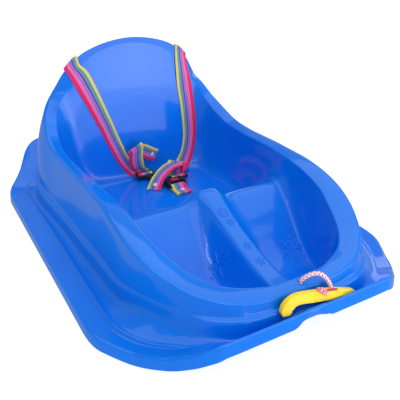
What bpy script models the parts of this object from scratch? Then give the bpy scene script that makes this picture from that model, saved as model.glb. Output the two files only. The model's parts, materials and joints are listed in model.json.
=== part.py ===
"""Toddler sled: one moulded plastic shell with a tow handle, tow rope and a
three-strap harness with a fork buckle.

Units are metres, +Z up, the front of the sled towards -Y,
+X to the right for someone who stands in front of it, the ground at z = 0.

The shell is described by closed outline rings.  Each ring is given for the
right half only, by stations (u, x, y, z): u runs from the front middle (0)
round the right side to the rear middle (1).  Ring coordinates are in brim
widths, with z = 0 at the top of the side lip, and are turned into metres by
metres() below.
"""
import bpy
import bmesh
import math
import numpy as np
from mathutils import Vector
from mathutils.bvhtree import BVHTree

# ------------------------------------------------------------------ driving
W = 0.530            # brim width, lip to lip
GROUND = 0.045       # side lip height over the ground, in brim widths
YC = 0.002           # shift that puts the origin in the middle of the length
WALL = 0.0066        # sheet thickness, in brim widths (3.5 mm)
GAP = 0.0003         # gap kept between touching pieces

ROPE_R = 0.0030      # tow rope, 6 mm
ROPE_HOLE_R = 0.0042
ROPE_HOLE = (0.0, -0.616, 0.125)
WEB_W = 0.032        # harness webbing
WEB_T = 0.0016

# ------------------------------------------------------------ shell outlines
LIP = [(0, 0, -.678, .081), (.06, .10, -.678, .081), (.10, .17, -.678, .081),
       (.15, .262, -.676, .080), (.175, .297, -.663, .067), (.20, .33, -.64, .046),
       (.22, .363, -.61, .026), (.24, .391, -.58, .016), (.26, .415, -.55, .008),
       (.28, .435, -.52, .002), (.30, .454, -.49, 0), (.32, .472, -.46, 0),
       (.34, .488, -.43, 0), (.36, .497, -.395, 0), (.38, .50, -.35, 0),
       (.55, .50, .06, 0), (.72, .50, .46, 0), (.74, .497, .495, .002),
       (.76, .483, .535, .007), (.78, .462, .565, .016), (.80, .443, .590, .027),
       (.82, .425, .612, .043), (.84, .408, .632, .067), (.86, .390, .648, .096),
       (.88, .366, .660, .120), (.90, .335, .667, .133), (.93, .25, .672, .137),
       (1, 0, .674, .138)]
BEAD = [(0, 0, -.6625, .040), (.06, .092, -.6625, .040), (.10, .155, -.661, .040),
        (.15, .235, -.648, .040), (.175, .272, -.630, .037), (.20, .302, -.604, .029),
        (.22, .328, -.578, .019), (.24, .352, -.552, .011), (.26, .375, -.526, .005),
        (.28, .394, -.500, .001), (.30, .410, -.474, 0), (.32, .424, -.446, 0),
        (.34, .434, -.413, 0), (.36, .4395, -.380, 0), (.38, .441, -.345, 0),
        (.55, .441, .06, 0), (.72, .441, .44, 0), (.76, .432, .49, .004),
        (.80, .402, .536, .015), (.84, .366, .571, .040), (.88, .32, .596, .065),
        (.93, .23, .612, .080), (1, 0, .616, .083)]
CREASE = [(0, 0, -.653, .040), (.058, .080, -.653, .040), (.066, .090, -.653, .040),
          (.10, .137, -.651, .040), (.15, .204, -.640, .040), (.175, .234, -.625, .040),
          (.20, .262, -.602, .040), (.22, .281, -.581, .040), (.24, .296, -.557, .040),
          (.26, .308, -.533, .039), (.28, .320, -.507, .038), (.30, .331, -.480, .036),
          (.32, .342, -.453, .033), (.34, .352, -.420, .028), (.36, .363, -.388, .020),
          (.38, .373, -.356, .011), (.405, .387, -.297, 0), (.413, .390, -.276, 0),
          (.46, .395, -.15, 0), (.50, .401, -.05, 0), (.55, .404, .06, 0),
          (.60, .409, .165, 0), (.66, .417, .28, 0), (.72, .420, .378, 0),
          (.76, .415, .436, 0), (.80, .399, .486, 0), (.84, .368, .517, 0),
          (.88, .325, .532, .002), (.93, .224, .538, .003), (1, 0, .540, .003)]
LEDGE = [(0, 0, -.650, .086), (.058, .078, -.650, .086), (.066, .088, -.650, .086),
         (.10, .134, -.647, .086), (.15, .197, -.633, .086), (.175, .222, -.620, .0855),
         (.20, .248, -.601, .085), (.22, .268, -.582, .084), (.24, .284, -.560, .083),
         (.26, .298, -.537, .081), (.28, .310, -.513, .080), (.30, .321, -.490, .078),
         (.32, .332, -.466, .075), (.34, .343, -.432, .070), (.36, .354, -.398, .065),
         (.38, .365, -.363, .060), (.405, .380, -.296, .051), (.413, .382, -.276, .050),
         (.46, .387, -.15, .050), (.50, .393, -.05, .050), (.55, .397, .06, .050),
         (.60, .402, .165, .050), (.66, .410, .28, .050), (.72, .413, .375, .050),
         (.76, .408, .43, .050), (.80, .392, .478, .050), (.84, .362, .508, .050),
         (.88, .32, .522, .050), (.93, .22, .528, .050), (1, 0, .530, .050)]
RIM_OUT = [(0, 0, -.636, .117), (.06, .085, -.634, .118), (.10, .145, -.625, .120),
           (.15, .213, -.600, .126), (.20, .261, -.560, .136), (.24, .293, -.525, .146),
           (.28, .320, -.480, .159), (.32, .343, -.430, .175), (.36, .358, -.375, .192),
           (.40, .366, -.310, .209), (.44, .367, -.240, .222), (.48, .364, -.150, .230),
           (.52, .362, -.050, .230), (.56, .362, .050, .226), (.60, .363, .150, .222),
           (.64, .366, .240, .224), (.68, .367, .310, .238), (.72, .362, .375, .262),
           (.75, .350, .425, .290), (.78, .330, .462, .330), (.81, .302, .480, .365),
           (.84, .277, .470, .405), (.87, .252, .459, .445), (.90, .215, .452, .483),
           (.93, .170, .4495, .512), (.96, .105, .449, .534), (1, 0, .449, .547)]
RIM_IN = [(0, 0, -.600, .126), (.06, .075, -.596, .126), (.10, .125, -.580, .128),
          (.15, .180, -.552, .131), (.20, .222, -.512, .139), (.24, .246, -.475, .148),
          (.28, .264, -.435, .160), (.32, .280, -.390, .174), (.36, .294, -.345, .190),
          (.40, .302, -.290, .203), (.44, .307, -.225, .215), (.48, .311, -.145, .221),
          (.52, .315, -.050, .221), (.56, .319, .050, .216), (.60, .323, .150, .210),
          (.64, .326, .240, .210), (.68, .3255, .310, .222), (.72, .321, .365, .246),
          (.75, .311, .405, .280), (.78, .292, .433, .325), (.81, .266, .448, .362),
          (.84, .238, .451, .395), (.87, .213, .451, .425), (.90, .182, .4505, .457),
          (.93, .142, .450, .486), (.96, .088, .450, .507), (1, 0, .450, .520)]
WALL_BASE = [(0, 0, -.555), (.06, .068, -.552), (.10, .112, -.538), (.15, .163, -.512),
             (.20, .198, -.475), (.24, .219, -.440), (.28, .234, -.400),
             (.32, .246, -.355), (.36, .256, -.310), (.40, .262, -.260),
             (.44, .266, -.200), (.48, .268, -.130), (.52, .268, -.050),
             (.56, .268, .040), (.60, .266, .120), (.64, .262, .190),
             (.68, .255, .250), (.72, .245, .300), (.75, .232, .330),
             (.78, .215, .350), (.81, .192, .362), (.84, .168, .370),
             (.87, .145, .374), (.90, .115, .377), (.93, .085, .379),
             (.96, .050, .380), (1, 0, .380)]
# floor heights along y: in the foot wells, and on the rib between them
WELL = [(-.70, -.030), (-.42, -.030), (-.37, -.026), (-.32, -.006), (-.26, .046),
        (-.20, .104), (-.165, .132), (-.14, .139), (-.115, .131), (-.07, .094),
        (-.02, .046), (.03, .014), (.09, -.001), (.18, -.005), (.50, -.005)]
RIB = [(-.70, .066), (-.56, .066), (-.53, .067), (-.45, .076), (-.39, .090),
       (-.30, .117), (-.22, .147), (-.165, .168), (-.14, .173), (-.11, .161),
       (-.05, .084), (.03, .015), (.09, -.001), (.18, -.005), (.50, -.005)]


def hermite(table, u):
    """Smooth curve through the table's rows (parameter first)."""
    t = np.array(table, float)
    k, v = t[:, 0], t[:, 1:]
    h = np.diff(k)[:, None]
    d = np.diff(v, axis=0) / h
    m = np.zeros_like(v)
    m[1:-1] = (h[1:] * d[:-1] + h[:-1] * d[1:]) / (h[1:] + h[:-1])
    m[0], m[-1] = d[0], d[-1]
    if v.shape[1] == 3:                 # a ring crosses x = 0 squarely
        m[0, 1:] = 0
        m[-1, 1:] = 0
    lim = 3 * np.minimum(np.abs(d[:-1]), np.abs(d[1:]))
    m[1:-1] = np.where(d[:-1] * d[1:] <= 0, 0, np.clip(m[1:-1], -lim, lim))
    u = np.clip(u, k[0], k[-1])
    i = np.clip(np.searchsorted(k, u, side="right") - 1, 0, len(k) - 2)
    hh = (k[i + 1] - k[i])[:, None]
    s = ((u - k[i]) / (k[i + 1] - k[i]))[:, None]
    a, b, ma, mb = v[i], v[i + 1], m[i] * hh, m[i + 1] * hh
    return ((2*s**3 - 3*s**2 + 1) * a + (s**3 - 2*s**2 + s) * ma
            + (-2*s**3 + 3*s**2) * b + (s**3 - s**2) * mb)


def profile(table, v):
    v = np.asarray(v, float)
    return hermite(table, v.ravel())[:, 0].reshape(v.shape)


def smooth(t):
    t = np.clip(t, 0, 1)
    return t * t * (3 - 2 * t)


def mix(a, b, t):
    return a + (b - a) * t


def floor_z(x, y):
    """Height of the seat and foot well floor, in brim widths."""
    well, rib = profile(WELL, y), profile(RIB, y)
    flank = np.interp(y, [-.30, -.20, -.10], [.082, .072, .085])
    half = np.interp(y, [-.55, -.2], [.026, .023])
    t = np.clip((np.abs(x) - half) / flank, 0, 1)
    t = t * t * 1.14 / (t + .14)               # tight shoulder, wide foot
    return well + (rib - well) * (1 - t) ** 2.2


def outward(ring):
    """Unit normals of a ring in plan, pointing away from the seat."""
    t = np.gradient(ring[:, :2], axis=0)
    n = np.stack([t[:, 1], -t[:, 0]], -1)
    n /= np.linalg.norm(n, axis=1)[:, None] + 1e-12
    n[0], n[-1] = (0, -1), (0, 1)
    return n


def outlines(u):
    d = {k: hermite(t, u) for k, t in dict(lip=LIP, bead=BEAD, crease=CREASE,
         ledge=LEDGE, ro=RIM_OUT, ri=RIM_IN, base=WALL_BASE).items()}
    d["arch"] = np.where(u < .12, 1 - smooth((np.abs(d["lip"][:, 0]) - .014) / .048), 0)
    d["lip"][:, 2] += .004 * d["arch"]
    return d


# inner wall section: share of the way in plan, share of the way down
WALL_SECTION = [(.03, .03), (.09, .12), (.17, .26), (.26, .42), (.36, .58),
                (.47, .72), (.60, .84), (.74, .93), (.88, .98), (1, 1)]


def top_rings(u, o):
    """Rings of the upper surface from the skirt's bottom edge to the spine."""
    lip, bead, crease, ledge = o["lip"], o["bead"], o["crease"], o["ledge"]
    ro, ri, base = o["ro"], o["ri"], o["base"]
    n = outward(lip)
    ramp = lambda a, b: smooth((u - a) / (b - a))
    # skirt: the rolled edge under the lip, with an arch in its front middle
    h = np.interp(u, [0, .15, .16, .19, .22, .30, .72, .85, 1],
                  [.040, .040, .044, .040, .034, .032, .032, .034, .034])
    arch = o["arch"]
    h = h * (1 - arch) + .010 * arch

    def off(p, d, dz):
        q = p.copy()
        q[:, :2] += n * (d[:, None] if isinstance(d, np.ndarray) else d)
        q[:, 2] += dz
        return q
    front = 1 - ramp(.16, .24)
    skirt = off(lip, .005, -h)
    lip_o = off(lip, .002, -.003)
    lip_i = off(lip, -.0045, 0)
    foot = off(lip, -.0095, 0)
    foot[:, 2] = lip[:, 2] * (1 - front) + (.042 + .013 * arch) * front
    amp = (ramp(.19, .25) * (1 - ramp(.74, .82)))
    bead_0 = mix(foot, bead, .90)
    bead_0[:, 2] -= .002 * amp
    bead_0[:, 2] += .002 * arch
    bead_1 = bead.copy()
    bead_1[:, 2] += .013 * arch
    bead_1[:, 2] += .006 * amp
    d = crease - bead
    ln = np.linalg.norm(d[:, :2], axis=1)[:, None]
    bead_2 = bead + d * np.minimum(.013 / np.maximum(ln, 1e-6), .4)
    bead_2[:, 2] += .013 * arch
    # bay: the front wall steps back behind the tow handle
    bay = (1 - smooth((u - .058) / .008))[:, None]

    def step(p, y, z):
        q = p.copy()
        q[:, 1], q[:, 2] = y, z
        return p * (1 - bay) + q * bay
    crease_b = step(crease, -.640, .040 + .013 * arch)
    ledge_b = step(ledge, -.639, .070)
    # ledge: a narrow shelf, then the outer wall up to the rim
    nl = outward(ledge)
    room = np.sum((ledge - ro)[:, :2] * nl, axis=1)
    shelf = ledge.copy()
    shelf[:, :2] -= nl * np.clip(room * .6, .003, .012)[:, None]
    shelf[:, 2] += .003
    bulge = (ramp(.64, .78) * (1 - ramp(.86, .99)))[:, None]
    wall_1, wall_2 = mix(shelf, ro, .33), mix(shelf, ro, .68)
    wall_1[:, :2] += nl * .016 * bulge
    wall_2[:, :2] += nl * .016 * bulge
    shelf_b = step(shelf, -.6385, .082)
    wall_1 = mix(wall_1, step(wall_1, -.6375, .095), bay)
    rim_m = mix(ro, ri, .5)
    rim_m[:, 2] += .002
    rings = [skirt, lip_o, lip_i, foot, bead_0, bead_1, bead_2, crease_b,
             ledge_b, shelf_b, wall_1, wall_2, ro, rim_m, ri]
    fz = floor_z(base[:, 0], base[:, 1])
    for a, b in WALL_SECTION:
        p = np.empty_like(ri)
        p[:, :2] = mix(ri[:, :2], base, a)
        p[:, 2] = mix(ri[:, 2], fz, b)
        rings.append(p)
    spine = .65 * (base[:, 1] * .979 - .002) + .35 * (-.545 + .915 * u)
    for t in (.14, .30, .46, .62, .74, .86, 1.0):
        xy = base.copy()
        xy[:, 0] *= 1 - t
        xy[:, 1] = mix(base[:, 1], spine, t)
        if t == 1.0:
            xy[:, 0] = 0
        rings.append(np.column_stack([xy, floor_z(xy[:, 0], xy[:, 1])]))
    return rings


def unit(v):
    return v / (np.linalg.norm(v, axis=-1, keepdims=True) + 1e-12)


def section_normals(rings):
    """Mitred offset directions of a stack of rings (length 1 / cos)."""
    g = np.array(rings)                          # ring, station, xyz
    along = np.gradient(g, axis=1)
    along[:, 0] = (1, 0, 0)
    along[:, -1] = (-1, 0, 0)
    seg = unit(np.diff(g, axis=0))
    n = unit(np.cross(seg, .5 * (along[:-1] + along[1:])))
    a = np.concatenate([n[:1], n])
    b = np.concatenate([n, n[-1:]])
    s = a + b
    return s / np.maximum(1 + np.sum(a * b, axis=-1, keepdims=True), .6)


def under_rings(u, o, top):
    """Rings of the lower surface, a wall thickness below the upper one."""
    skirt, foot, bead = top[0], top[3], o["bead"].copy()
    bead[:, 2] += .013 * o["arch"]
    core = [foot, bead] + top[7:]
    g = section_normals(core)
    if g[3, len(u) // 2, 2] < 0:
        g = -g
    n = outward(o["lip"])
    off = [c - WALL * d for c, d in zip(core, g)]
    u0 = skirt.copy()
    u0[:, :2] -= n * WALL
    u1 = o["lip"].copy()
    u1[:, :2] -= n * .0042
    u1[:, 2] = foot[:, 2] - WALL
    # hollow under the rim: its roof runs lower where the two walls close up
    ro, ri = o["ro"], o["ri"]
    roof = np.minimum(ro[:, 2], ri[:, 2]) - np.interp(
        u, [0, .60, .75, .86, 1], [.0085, .009, .020, .040, .050])
    no = outward(ro)

    def on_wall(ring_list, z):
        """Point of a wall, given as rings from bottom to top, at height z."""
        g = np.array(ring_list)
        out = np.empty((g.shape[1], 2))
        for j in range(g.shape[1]):
            out[j] = [np.interp(z[j], g[:, j, 2], g[:, j, k]) for k in (0, 1)]
        return out
    a = on_wall([top[9], top[10], top[11], top[12]], roof) - no * WALL
    b = on_wall([top[18], top[17], top[16], top[15], top[14]], roof) + no * WALL
    # keep a slit between them
    sep = np.sum((a - b) * no, axis=1)
    push = np.maximum(0, .004 - sep)[:, None] / 2
    a, b = a + no * push, b - no * push
    out_top = np.column_stack([a, roof])
    in_top = np.column_stack([b, roof])
    # core order: foot bead crease ledge shelf wall1 wall2 ro mid ri w1..w10 floor..
    rings = [u0, u1] + off[1:7] + [out_top, in_top] + off[13:]
    # the outer wall's points stay below the hollow's roof
    for k in (6, 7):
        low = rings[k][:, 2] > roof - .004 * (8 - k)
        rings[k][low, 2] = (roof - .004 * (8 - k))[low]
    for k in range(10, 14):
        cap = roof - .004 * (k - 9)
        low = rings[k][:, 2] > cap
        rings[k][low, 2] = cap[low]
    return rings


def metres(p):
    """Ring coordinates to metres in the part's own frame."""
    p = np.asarray(p, float)
    return np.stack([p[..., 0] * W, (p[..., 1] + YC) * W,
                     (p[..., 2] + GROUND) * W], -1)


def loop(half):
    """Full closed ring from a right half: front middle, right, rear, left."""
    left = half[1:-1][::-1] * np.array([-1, 1, 1])
    return np.concatenate([half, left])


STATIONS = [0, .010, .02, .03, .04, .058, .066, .10, .13, .155, .18, .205, .23, .255, .28, .31,
            .34, .37, .405, .413, .46, .51, .56, .61, .66, .70, .73, .76, .79,
            .82, .85, .88, .91, .94, .97, 1]


def shell_mesh():
    u = np.array(STATIONS)
    o = outlines(u)
    top = top_rings(u, o)
    bot = under_rings(u, o, top)
    bm = bmesh.new()

    def grid(rings):
        rows = []
        for r in rings[:-1]:
            rows.append([bm.verts.new(p) for p in metres(loop(r))])
        half = [bm.verts.new(p) for p in metres(rings[-1] * [0, 1, 1])]
        rows.append(half + half[1:-1][::-1])
        return rows
    a, b = grid(top), grid(bot)

    def skin(r0, r1, flip):
        k = len(r0)
        for j in range(k):
            q = [r0[j], r0[(j + 1) % k], r1[(j + 1) % k], r1[j]]
            q = [v for i, v in enumerate(q) if v not in q[:i]]
            q = q[::-1] if flip else q
            if len(q) == 4:                      # split on the shorter diagonal
                if ((q[0].co - q[2].co).length < (q[1].co - q[3].co).length):
                    tris = [(q[0], q[1], q[2]), (q[0], q[2], q[3])]
                else:
                    tris = [(q[0], q[1], q[3]), (q[1], q[2], q[3])]
            else:
                tris = [q] if len(q) == 3 else []
            for t in tris:
                bm.faces.new(t)
    for i in range(len(a) - 1):
        skin(a[i], a[i + 1], False)
    for i in range(len(b) - 1):
        skin(b[i], b[i + 1], True)
    skin(b[0], a[0], False)
    bmesh.ops.recalc_face_normals(bm, faces=bm.faces)
    me = bpy.data.meshes.new("sled_shell")
    bm.to_mesh(me)
    bm.free()
    return me


# ---------------------------------------------------------------- helpers
def P(x, y, z):
    """One point from ring coordinates (brim widths) to metres."""
    return np.array([x * W, (y + YC) * W, (z + GROUND) * W])


def material(name, rgb, rough, metal=0.0):
    m = bpy.data.materials.new(name)
    m.use_nodes = True
    b = m.node_tree.nodes["Principled BSDF"]
    b.inputs["Base Color"].default_value = (*rgb, 1)
    b.inputs["Roughness"].default_value = rough
    b.inputs["Metallic"].default_value = metal
    m.diffuse_color = (*rgb, 1)
    return m


def add(name, bm_or_me, mat, parent=None):
    me = bm_or_me
    if isinstance(bm_or_me, bmesh.types.BMesh):
        bmesh.ops.recalc_face_normals(bm_or_me, faces=bm_or_me.faces)
        me = bpy.data.meshes.new(name)
        bm_or_me.to_mesh(me)
        bm_or_me.free()
    me.name = name
    me.shade_smooth()
    me.set_sharp_from_angle(angle=math.radians(35))
    ob = bpy.data.objects.new(name, me)
    bpy.context.scene.collection.objects.link(ob)
    me.materials.append(mat)
    if parent is not None:
        ob.parent = parent
        ob.matrix_parent_inverse = parent.matrix_world.inverted()
    return ob


def empty(name, at):
    e = bpy.data.objects.new(name, None)
    e.location = Vector(at)
    bpy.context.scene.collection.objects.link(e)
    bpy.context.view_layer.update()
    return e


def cutter(name, bm):
    bmesh.ops.recalc_face_normals(bm, faces=bm.faces)
    me = bpy.data.meshes.new(name)
    bm.to_mesh(me)
    bm.free()
    ob = bpy.data.objects.new(name, me)
    ob.hide_render = True
    ob.display_type = "WIRE"
    bpy.context.scene.collection.objects.link(ob)
    return ob


def cut(ob, tool, op="DIFFERENCE"):
    m = ob.modifiers.new(op.title() + "_" + tool.name, "BOOLEAN")
    m.operation, m.object, m.solver = op, tool, "EXACT"
    return m


def frame(axis):
    a = Vector(axis).normalized()
    s = a.orthogonal().normalized()
    return s, a.cross(s).normalized(), a


def tube_mesh(bm, pts, radii, sides=12, ends=True):
    """Round solid along a polyline: rings carried by parallel transport."""
    pts = [Vector(p) for p in pts]
    radii = [radii] * len(pts) if isinstance(radii, float) else radii
    tan = [(pts[min(i + 1, len(pts) - 1)] - pts[max(i - 1, 0)]).normalized()
           for i in range(len(pts))]
    s = frame(tan[0])[0]
    rows = []
    for p, t, r in zip(pts, tan, radii):
        s = (s - t * s.dot(t)).normalized()
        b = t.cross(s)
        rows.append([bm.verts.new(p + r * (s * math.cos(a) + b * math.sin(a)))
                     for a in (2 * math.pi * k / sides for k in range(sides))])
    for a, b in zip(rows, rows[1:]):
        for k in range(sides):
            bm.faces.new([a[k], a[(k + 1) % sides], b[(k + 1) % sides], b[k]])
    if ends:
        bm.faces.new(rows[0][::-1])
        bm.faces.new(rows[-1])
    return rows


def lathe(bm, centre, axis, prof, sides=20):
    """Solid of revolution: prof is (radius, height) from bottom to top."""
    s, b, a = frame(axis)
    c = Vector(centre)
    pts = [(r, h) for r, h in prof]
    rows = []
    for r, h in pts:
        if r < 1e-9:
            rows.append([bm.verts.new(c + a * h)])
        else:
            rows.append([bm.verts.new(c + a * h + r * (s * math.cos(t) + b * math.sin(t)))
                         for t in (2 * math.pi * k / sides for k in range(sides))])
    for p, q in zip(rows, rows[1:]):
        for k in range(sides):
            k2 = (k + 1) % sides
            f = [p[k % len(p)], p[k2 % len(p)], q[k2 % len(q)], q[k % len(q)]]
            f = [v for i, v in enumerate(f) if v not in f[:i]]
            if len(f) > 2:
                bm.faces.new(f)
    for row, rev in ((rows[0], True), (rows[-1], False)):
        if len(row) > 1:
            bm.faces.new(row[::-1] if rev else row)


def spline(points, step):
    """Points every step or so along a smooth curve through route points."""
    p = np.array(points, float)
    q = np.vstack([2 * p[0] - p[1], p, 2 * p[-1] - p[-2]])
    out = []
    for i in range(1, len(q) - 2):
        a, b, c, d = q[i - 1], q[i], q[i + 1], q[i + 2]
        n = max(1, int(round(np.linalg.norm(c - b) / step)))
        for k in range(n):
            t = k / n
            out.append(.5 * (2*b + (c - a) * t + (2*a - 5*b + 4*c - d) * t**2
                             + (3*b - a - 3*c + d) * t**3))
    out.append(p[-1])
    return np.array(out)


def rivet(bm, at, axis, head, shank, length, sides=16, tail=None):
    """Domed head on the +axis side of point at, shank going the other way,
    set over into a smaller tail head when tail is given."""
    prof = [(0, -length), (shank, -length)]
    if tail:
        prof = [(0, -length - .0012), (tail * .7, -length - .0012),
                (tail, -length - .0004), (tail, -length), (shank, -length)]
    prof += [(shank, 0), (head, 0), (head, .0004), (head * .75, .0010),
             (head * .35, .0013), (0, .0014)]
    lathe(bm, at, axis, prof, sides)


def web(bm, sections, thick):
    """Flat webbing from cross-sections of three points (edge, middle, edge)."""
    g = np.array(sections, float)
    t = unit(np.gradient(g[:, 1], axis=0))
    w = unit(g[:, 2] - g[:, 0])
    n = unit(np.cross(t, w))
    rows = []
    for i in range(len(g)):
        h = n[i] * thick / 2
        rows.append([bm.verts.new(v) for v in
                     [p - h for p in g[i]] + [p + h for p in g[i][::-1]]])
    for p, q in zip(rows, rows[1:]):
        for k in range(6):
            bm.faces.new([p[k], p[(k + 1) % 6], q[(k + 1) % 6], q[k]])
    bm.faces.new(rows[0][::-1])
    bm.faces.new(rows[-1])


def section(a, b, m=None):
    """One webbing section from its two edge points, in metres."""
    a, b = np.array(a, float), np.array(b, float)
    return np.array([a, (a + b) / 2 if m is None else m, b])


def mm(*p):
    return np.array(p, float) / 1000


def at_station(secs, back):
    """Point and normal on the middle line, the given distance before the end."""
    g = np.array(secs)
    c = g[:, 1]
    s = np.concatenate([[0], np.cumsum(np.linalg.norm(np.diff(c, axis=0), axis=1))])
    d = s[-1] - back
    i = min(int(np.searchsorted(s, d)) - 1, len(c) - 2)
    f = (d - s[i]) / (s[i + 1] - s[i])
    p = c[i] + f * (c[i + 1] - c[i])
    w = unit(g[i, 2] - g[i, 0])
    n = unit(np.cross(unit(c[i + 1] - c[i]), w))
    return p, n


# ---------------------------------------------------------------- harness
# Ladder lock, in its own frame: y to the rear, w up, half width x.
LOCK_X, SLOT_X = 20.5, 16.6                 # mm
BAR = [-8.3, -5.1, -1.5, 1.5, 5.1, 8.1]     # edges of the three cross bars
PLATE = 4.0                                 # thickness of lock and prong
LOCK_R = (64.5, 155.2, 29.2)                # middle of the right lock
LOCK_L = (4.0, 193.0, 33.0)
TILT_L = 15.0                               # left lock leans up the backrest foot
BEND_L = 178.8                              # where its neck starts to rise
# way of the webbing through a lock: strap in below, over the middle bar, tail out
IN_LOCK = [(9, -5.1), (5, -5.1), (2, -5.1), (-1.2, -4.8), (-2.9, -3.5), (-3.3, -1),
           (-3.3, 1), (-2.9, 2.75), (-1.3, 3.25), (0, 3.3), (1.3, 3.25), (2.9, 2.75),
           (3.3, 1), (3.3, -1), (3.85, -2.7), (5.4, -3.2), (8.6, -3.2)]
SOCK_X = 44.5                               # middle of the buckle socket
SOCK_Y = (118.0, 146.3)
SOCK_Z = (25.2, 36.8)
PRONG = 10.4                                # prongs either side of the middle
PRONG_W, PRONG_L = 13.0, 15.6
RELEASE = 0.018                             # travel of the socket off the tongues
PRESS = 0.002                               # travel of the release button


def lock_point(c, tilt, y, w, x):
    a = math.radians(tilt)
    return mm(c[0] + x, c[1] + y * math.cos(a) - w * math.sin(a),
              c[2] + y * math.sin(a) + w * math.cos(a))


def lay(tree, x, z, side, off=.0013):
    """Point over the shell at ring coordinates (x, z), on the seat side (-1)
    or behind the backrest (+1), lifted off by off."""
    o = Vector(P(x, .20 if side < 0 else .62, z))
    hit, n, _, _ = tree.ray_cast(o, Vector((0, -side, 0)))
    return np.array(hit + n.normalized() * off)


def rim_edge(x):
    """Outer rim edge of the backrest at a given x: (y, z)."""
    u = np.linspace(.82, 1, 200)
    r = hermite(RIM_OUT, u)
    o = np.argsort(r[:, 0])
    return (np.interp(abs(x), r[o, 0], r[o, 1]), np.interp(abs(x), r[o, 0], r[o, 2]))


def over_rim(tree, side):
    """Sections from the riveted end behind the backrest to the seat side."""
    out = []

    def row(shift, s, way, off=.0013):
        pts = []
        for ax in (.247, .222, .197):
            x = side * (ax - shift)
            z = rim_edge(x)[1] - s
            pts.append(lay(tree, x, z, way, off))
        return np.array(pts)
    for shift, s in ((.050, .145), (.046, .120), (.041, .098), (.035, .080), (.026, .058), (.017, .036), (.009, .016)):
        out.append(row(shift, s, 1))
    out.append(row(.003, .007, 1, .0018))
    for dy, up in ((.0019, .0004), (.0011, .0018), (-.0003, .0023), (-.0016, .0016)):
        top = []
        for ax in (.247, .222, .197):
            y, z = rim_edge(ax)
            top.append(P(side * ax, y, z) + (side * .514 * up, dy, .857 * up))
        out.append(np.array(top))
    out.append(row(.001, .006, -1, .0018))
    return out


def strap_right(tree):
    """Outer edge first; ends with the loose tail laid over the buckle."""
    s = over_rim(tree, 1)
    front = [((.246, .446), (.197, .472)), ((.249, .425), (.196, .450)),
             ((.254, .395), (.1955, .418)), ((.258, .378), (.196, .397)),
             ((.261, .360), (.196, .375)),
             ((.266, .318), (.199, .325)), ((.2695, .262), (.207, .264)),
             ((.271, .210), (.2105, .210)), ((.2685, .160), (.2120, .160)),
             ((.262, .118), (.209, .119)), ((.252, .078), (.198, .080)),
             ((.238, .042), (.183, .052))]
    for (ax, az), (bx, bz) in front:
        off = .0023 if .35 < az < .44 else .0015
        s.append(section(lay(tree, ax, az, -1, off), lay(tree, bx, bz, -1, off),
                         lay(tree, (ax + bx) / 2, (az + bz) / 2, -1, off)))
    for c, w in (((102.5, 204.5, 36.5), (28.7, -10.4, -8.2)),
                 ((91.0, 194.5, 29.6), (29.2, -12.2, -4.0)),
                 ((80.0, 186.0, 26.2), (30.2, -10.6, -1.0)),
                 ((71.0, 178.5, 24.6), (31.2, -7.0, 0)),
                 ((66.2, 171.5, 24.1), (31.9, -2.5, 0))):
        c, w = mm(*c), mm(*w)
        s.append(section(c + w / 2, c - w / 2))
    for y, w in IN_LOCK:
        s.append(section(lock_point(LOCK_R, 0, y, w, 16),
                         lock_point(LOCK_R, 0, y, w, -16)))
    for c, w in (((64.9, 166.6, 26.9), (31.9, -1.5, 0)),
                 ((65.6, 168.6, 30.0), (31.7, -3.0, -.8)),
                 ((67.2, 171.0, 36.0), (31.2, -6.0, -2.6)),
                 ((69.6, 173.8, 43.0), (31.0, -7.0, -4.0))):
        c, w = mm(*c), mm(*w)
        s.append(section(c + w / 2, c - w / 2))
    a, b = mm(91.7, 166.4, 50.4), mm(57.0, 187.0, 56.0)       # fold line
    a2, b2 = mm(46.5, 153.5, 46.0), mm(23.0, 171.9, 46.0)
    s += fold(s[-1], a, b, a2, b2)
    s += [section(mm(68.5, 159.6, 49.9), mm(40.0, 179.6, 51.6)),
          section(a2, b2),
          section(mm(35.5, 146.6, 43.8), mm(13.5, 165.6, 43.0)),
          section(mm(25.5, 140.0, 39.6), mm(3.5, 159.0, 38.2)),
          section(mm(16.0, 133.6, 31.4), mm(-6.2, 152.4, 30.2)),
          section(mm(10.6, 129.4, 25.0), mm(-11.8, 147.8, 24.8)),
          section(mm(7.6, 126.9, 22.9), mm(-15.0, 145.4, 22.9))]
    return s


def fold(last, a, b, a2, b2):
    """Three sections of a flat fold along line a-b, on to the layer a2-b2."""
    c = (a + b) / 2
    d_in = unit(c - np.array(last)[1])
    d_out = unit((a2 + b2) / 2 - c)
    e = unit(d_in - d_out)                       # points past the fold line
    k = unit(b - a)
    e = unit(e - k * np.dot(e, k))
    n = unit(np.cross(e, k))
    # the outgoing layer lies on the side that faces the front of the sled
    if n[1] > 0:
        n = -n
    t = .00145
    return [section(a - e * .0016 - n * t, b - e * .0016 - n * t),
            section(a + e * .0002 - n * t * .7, b + e * .0002 - n * t * .7),
            section(a + e * .0010, b + e * .0010),
            section(a + e * .0002 + n * t * .7, b + e * .0002 + n * t * .7),
            section(a - e * .0016 + n * t, b - e * .0016 + n * t)]


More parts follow.
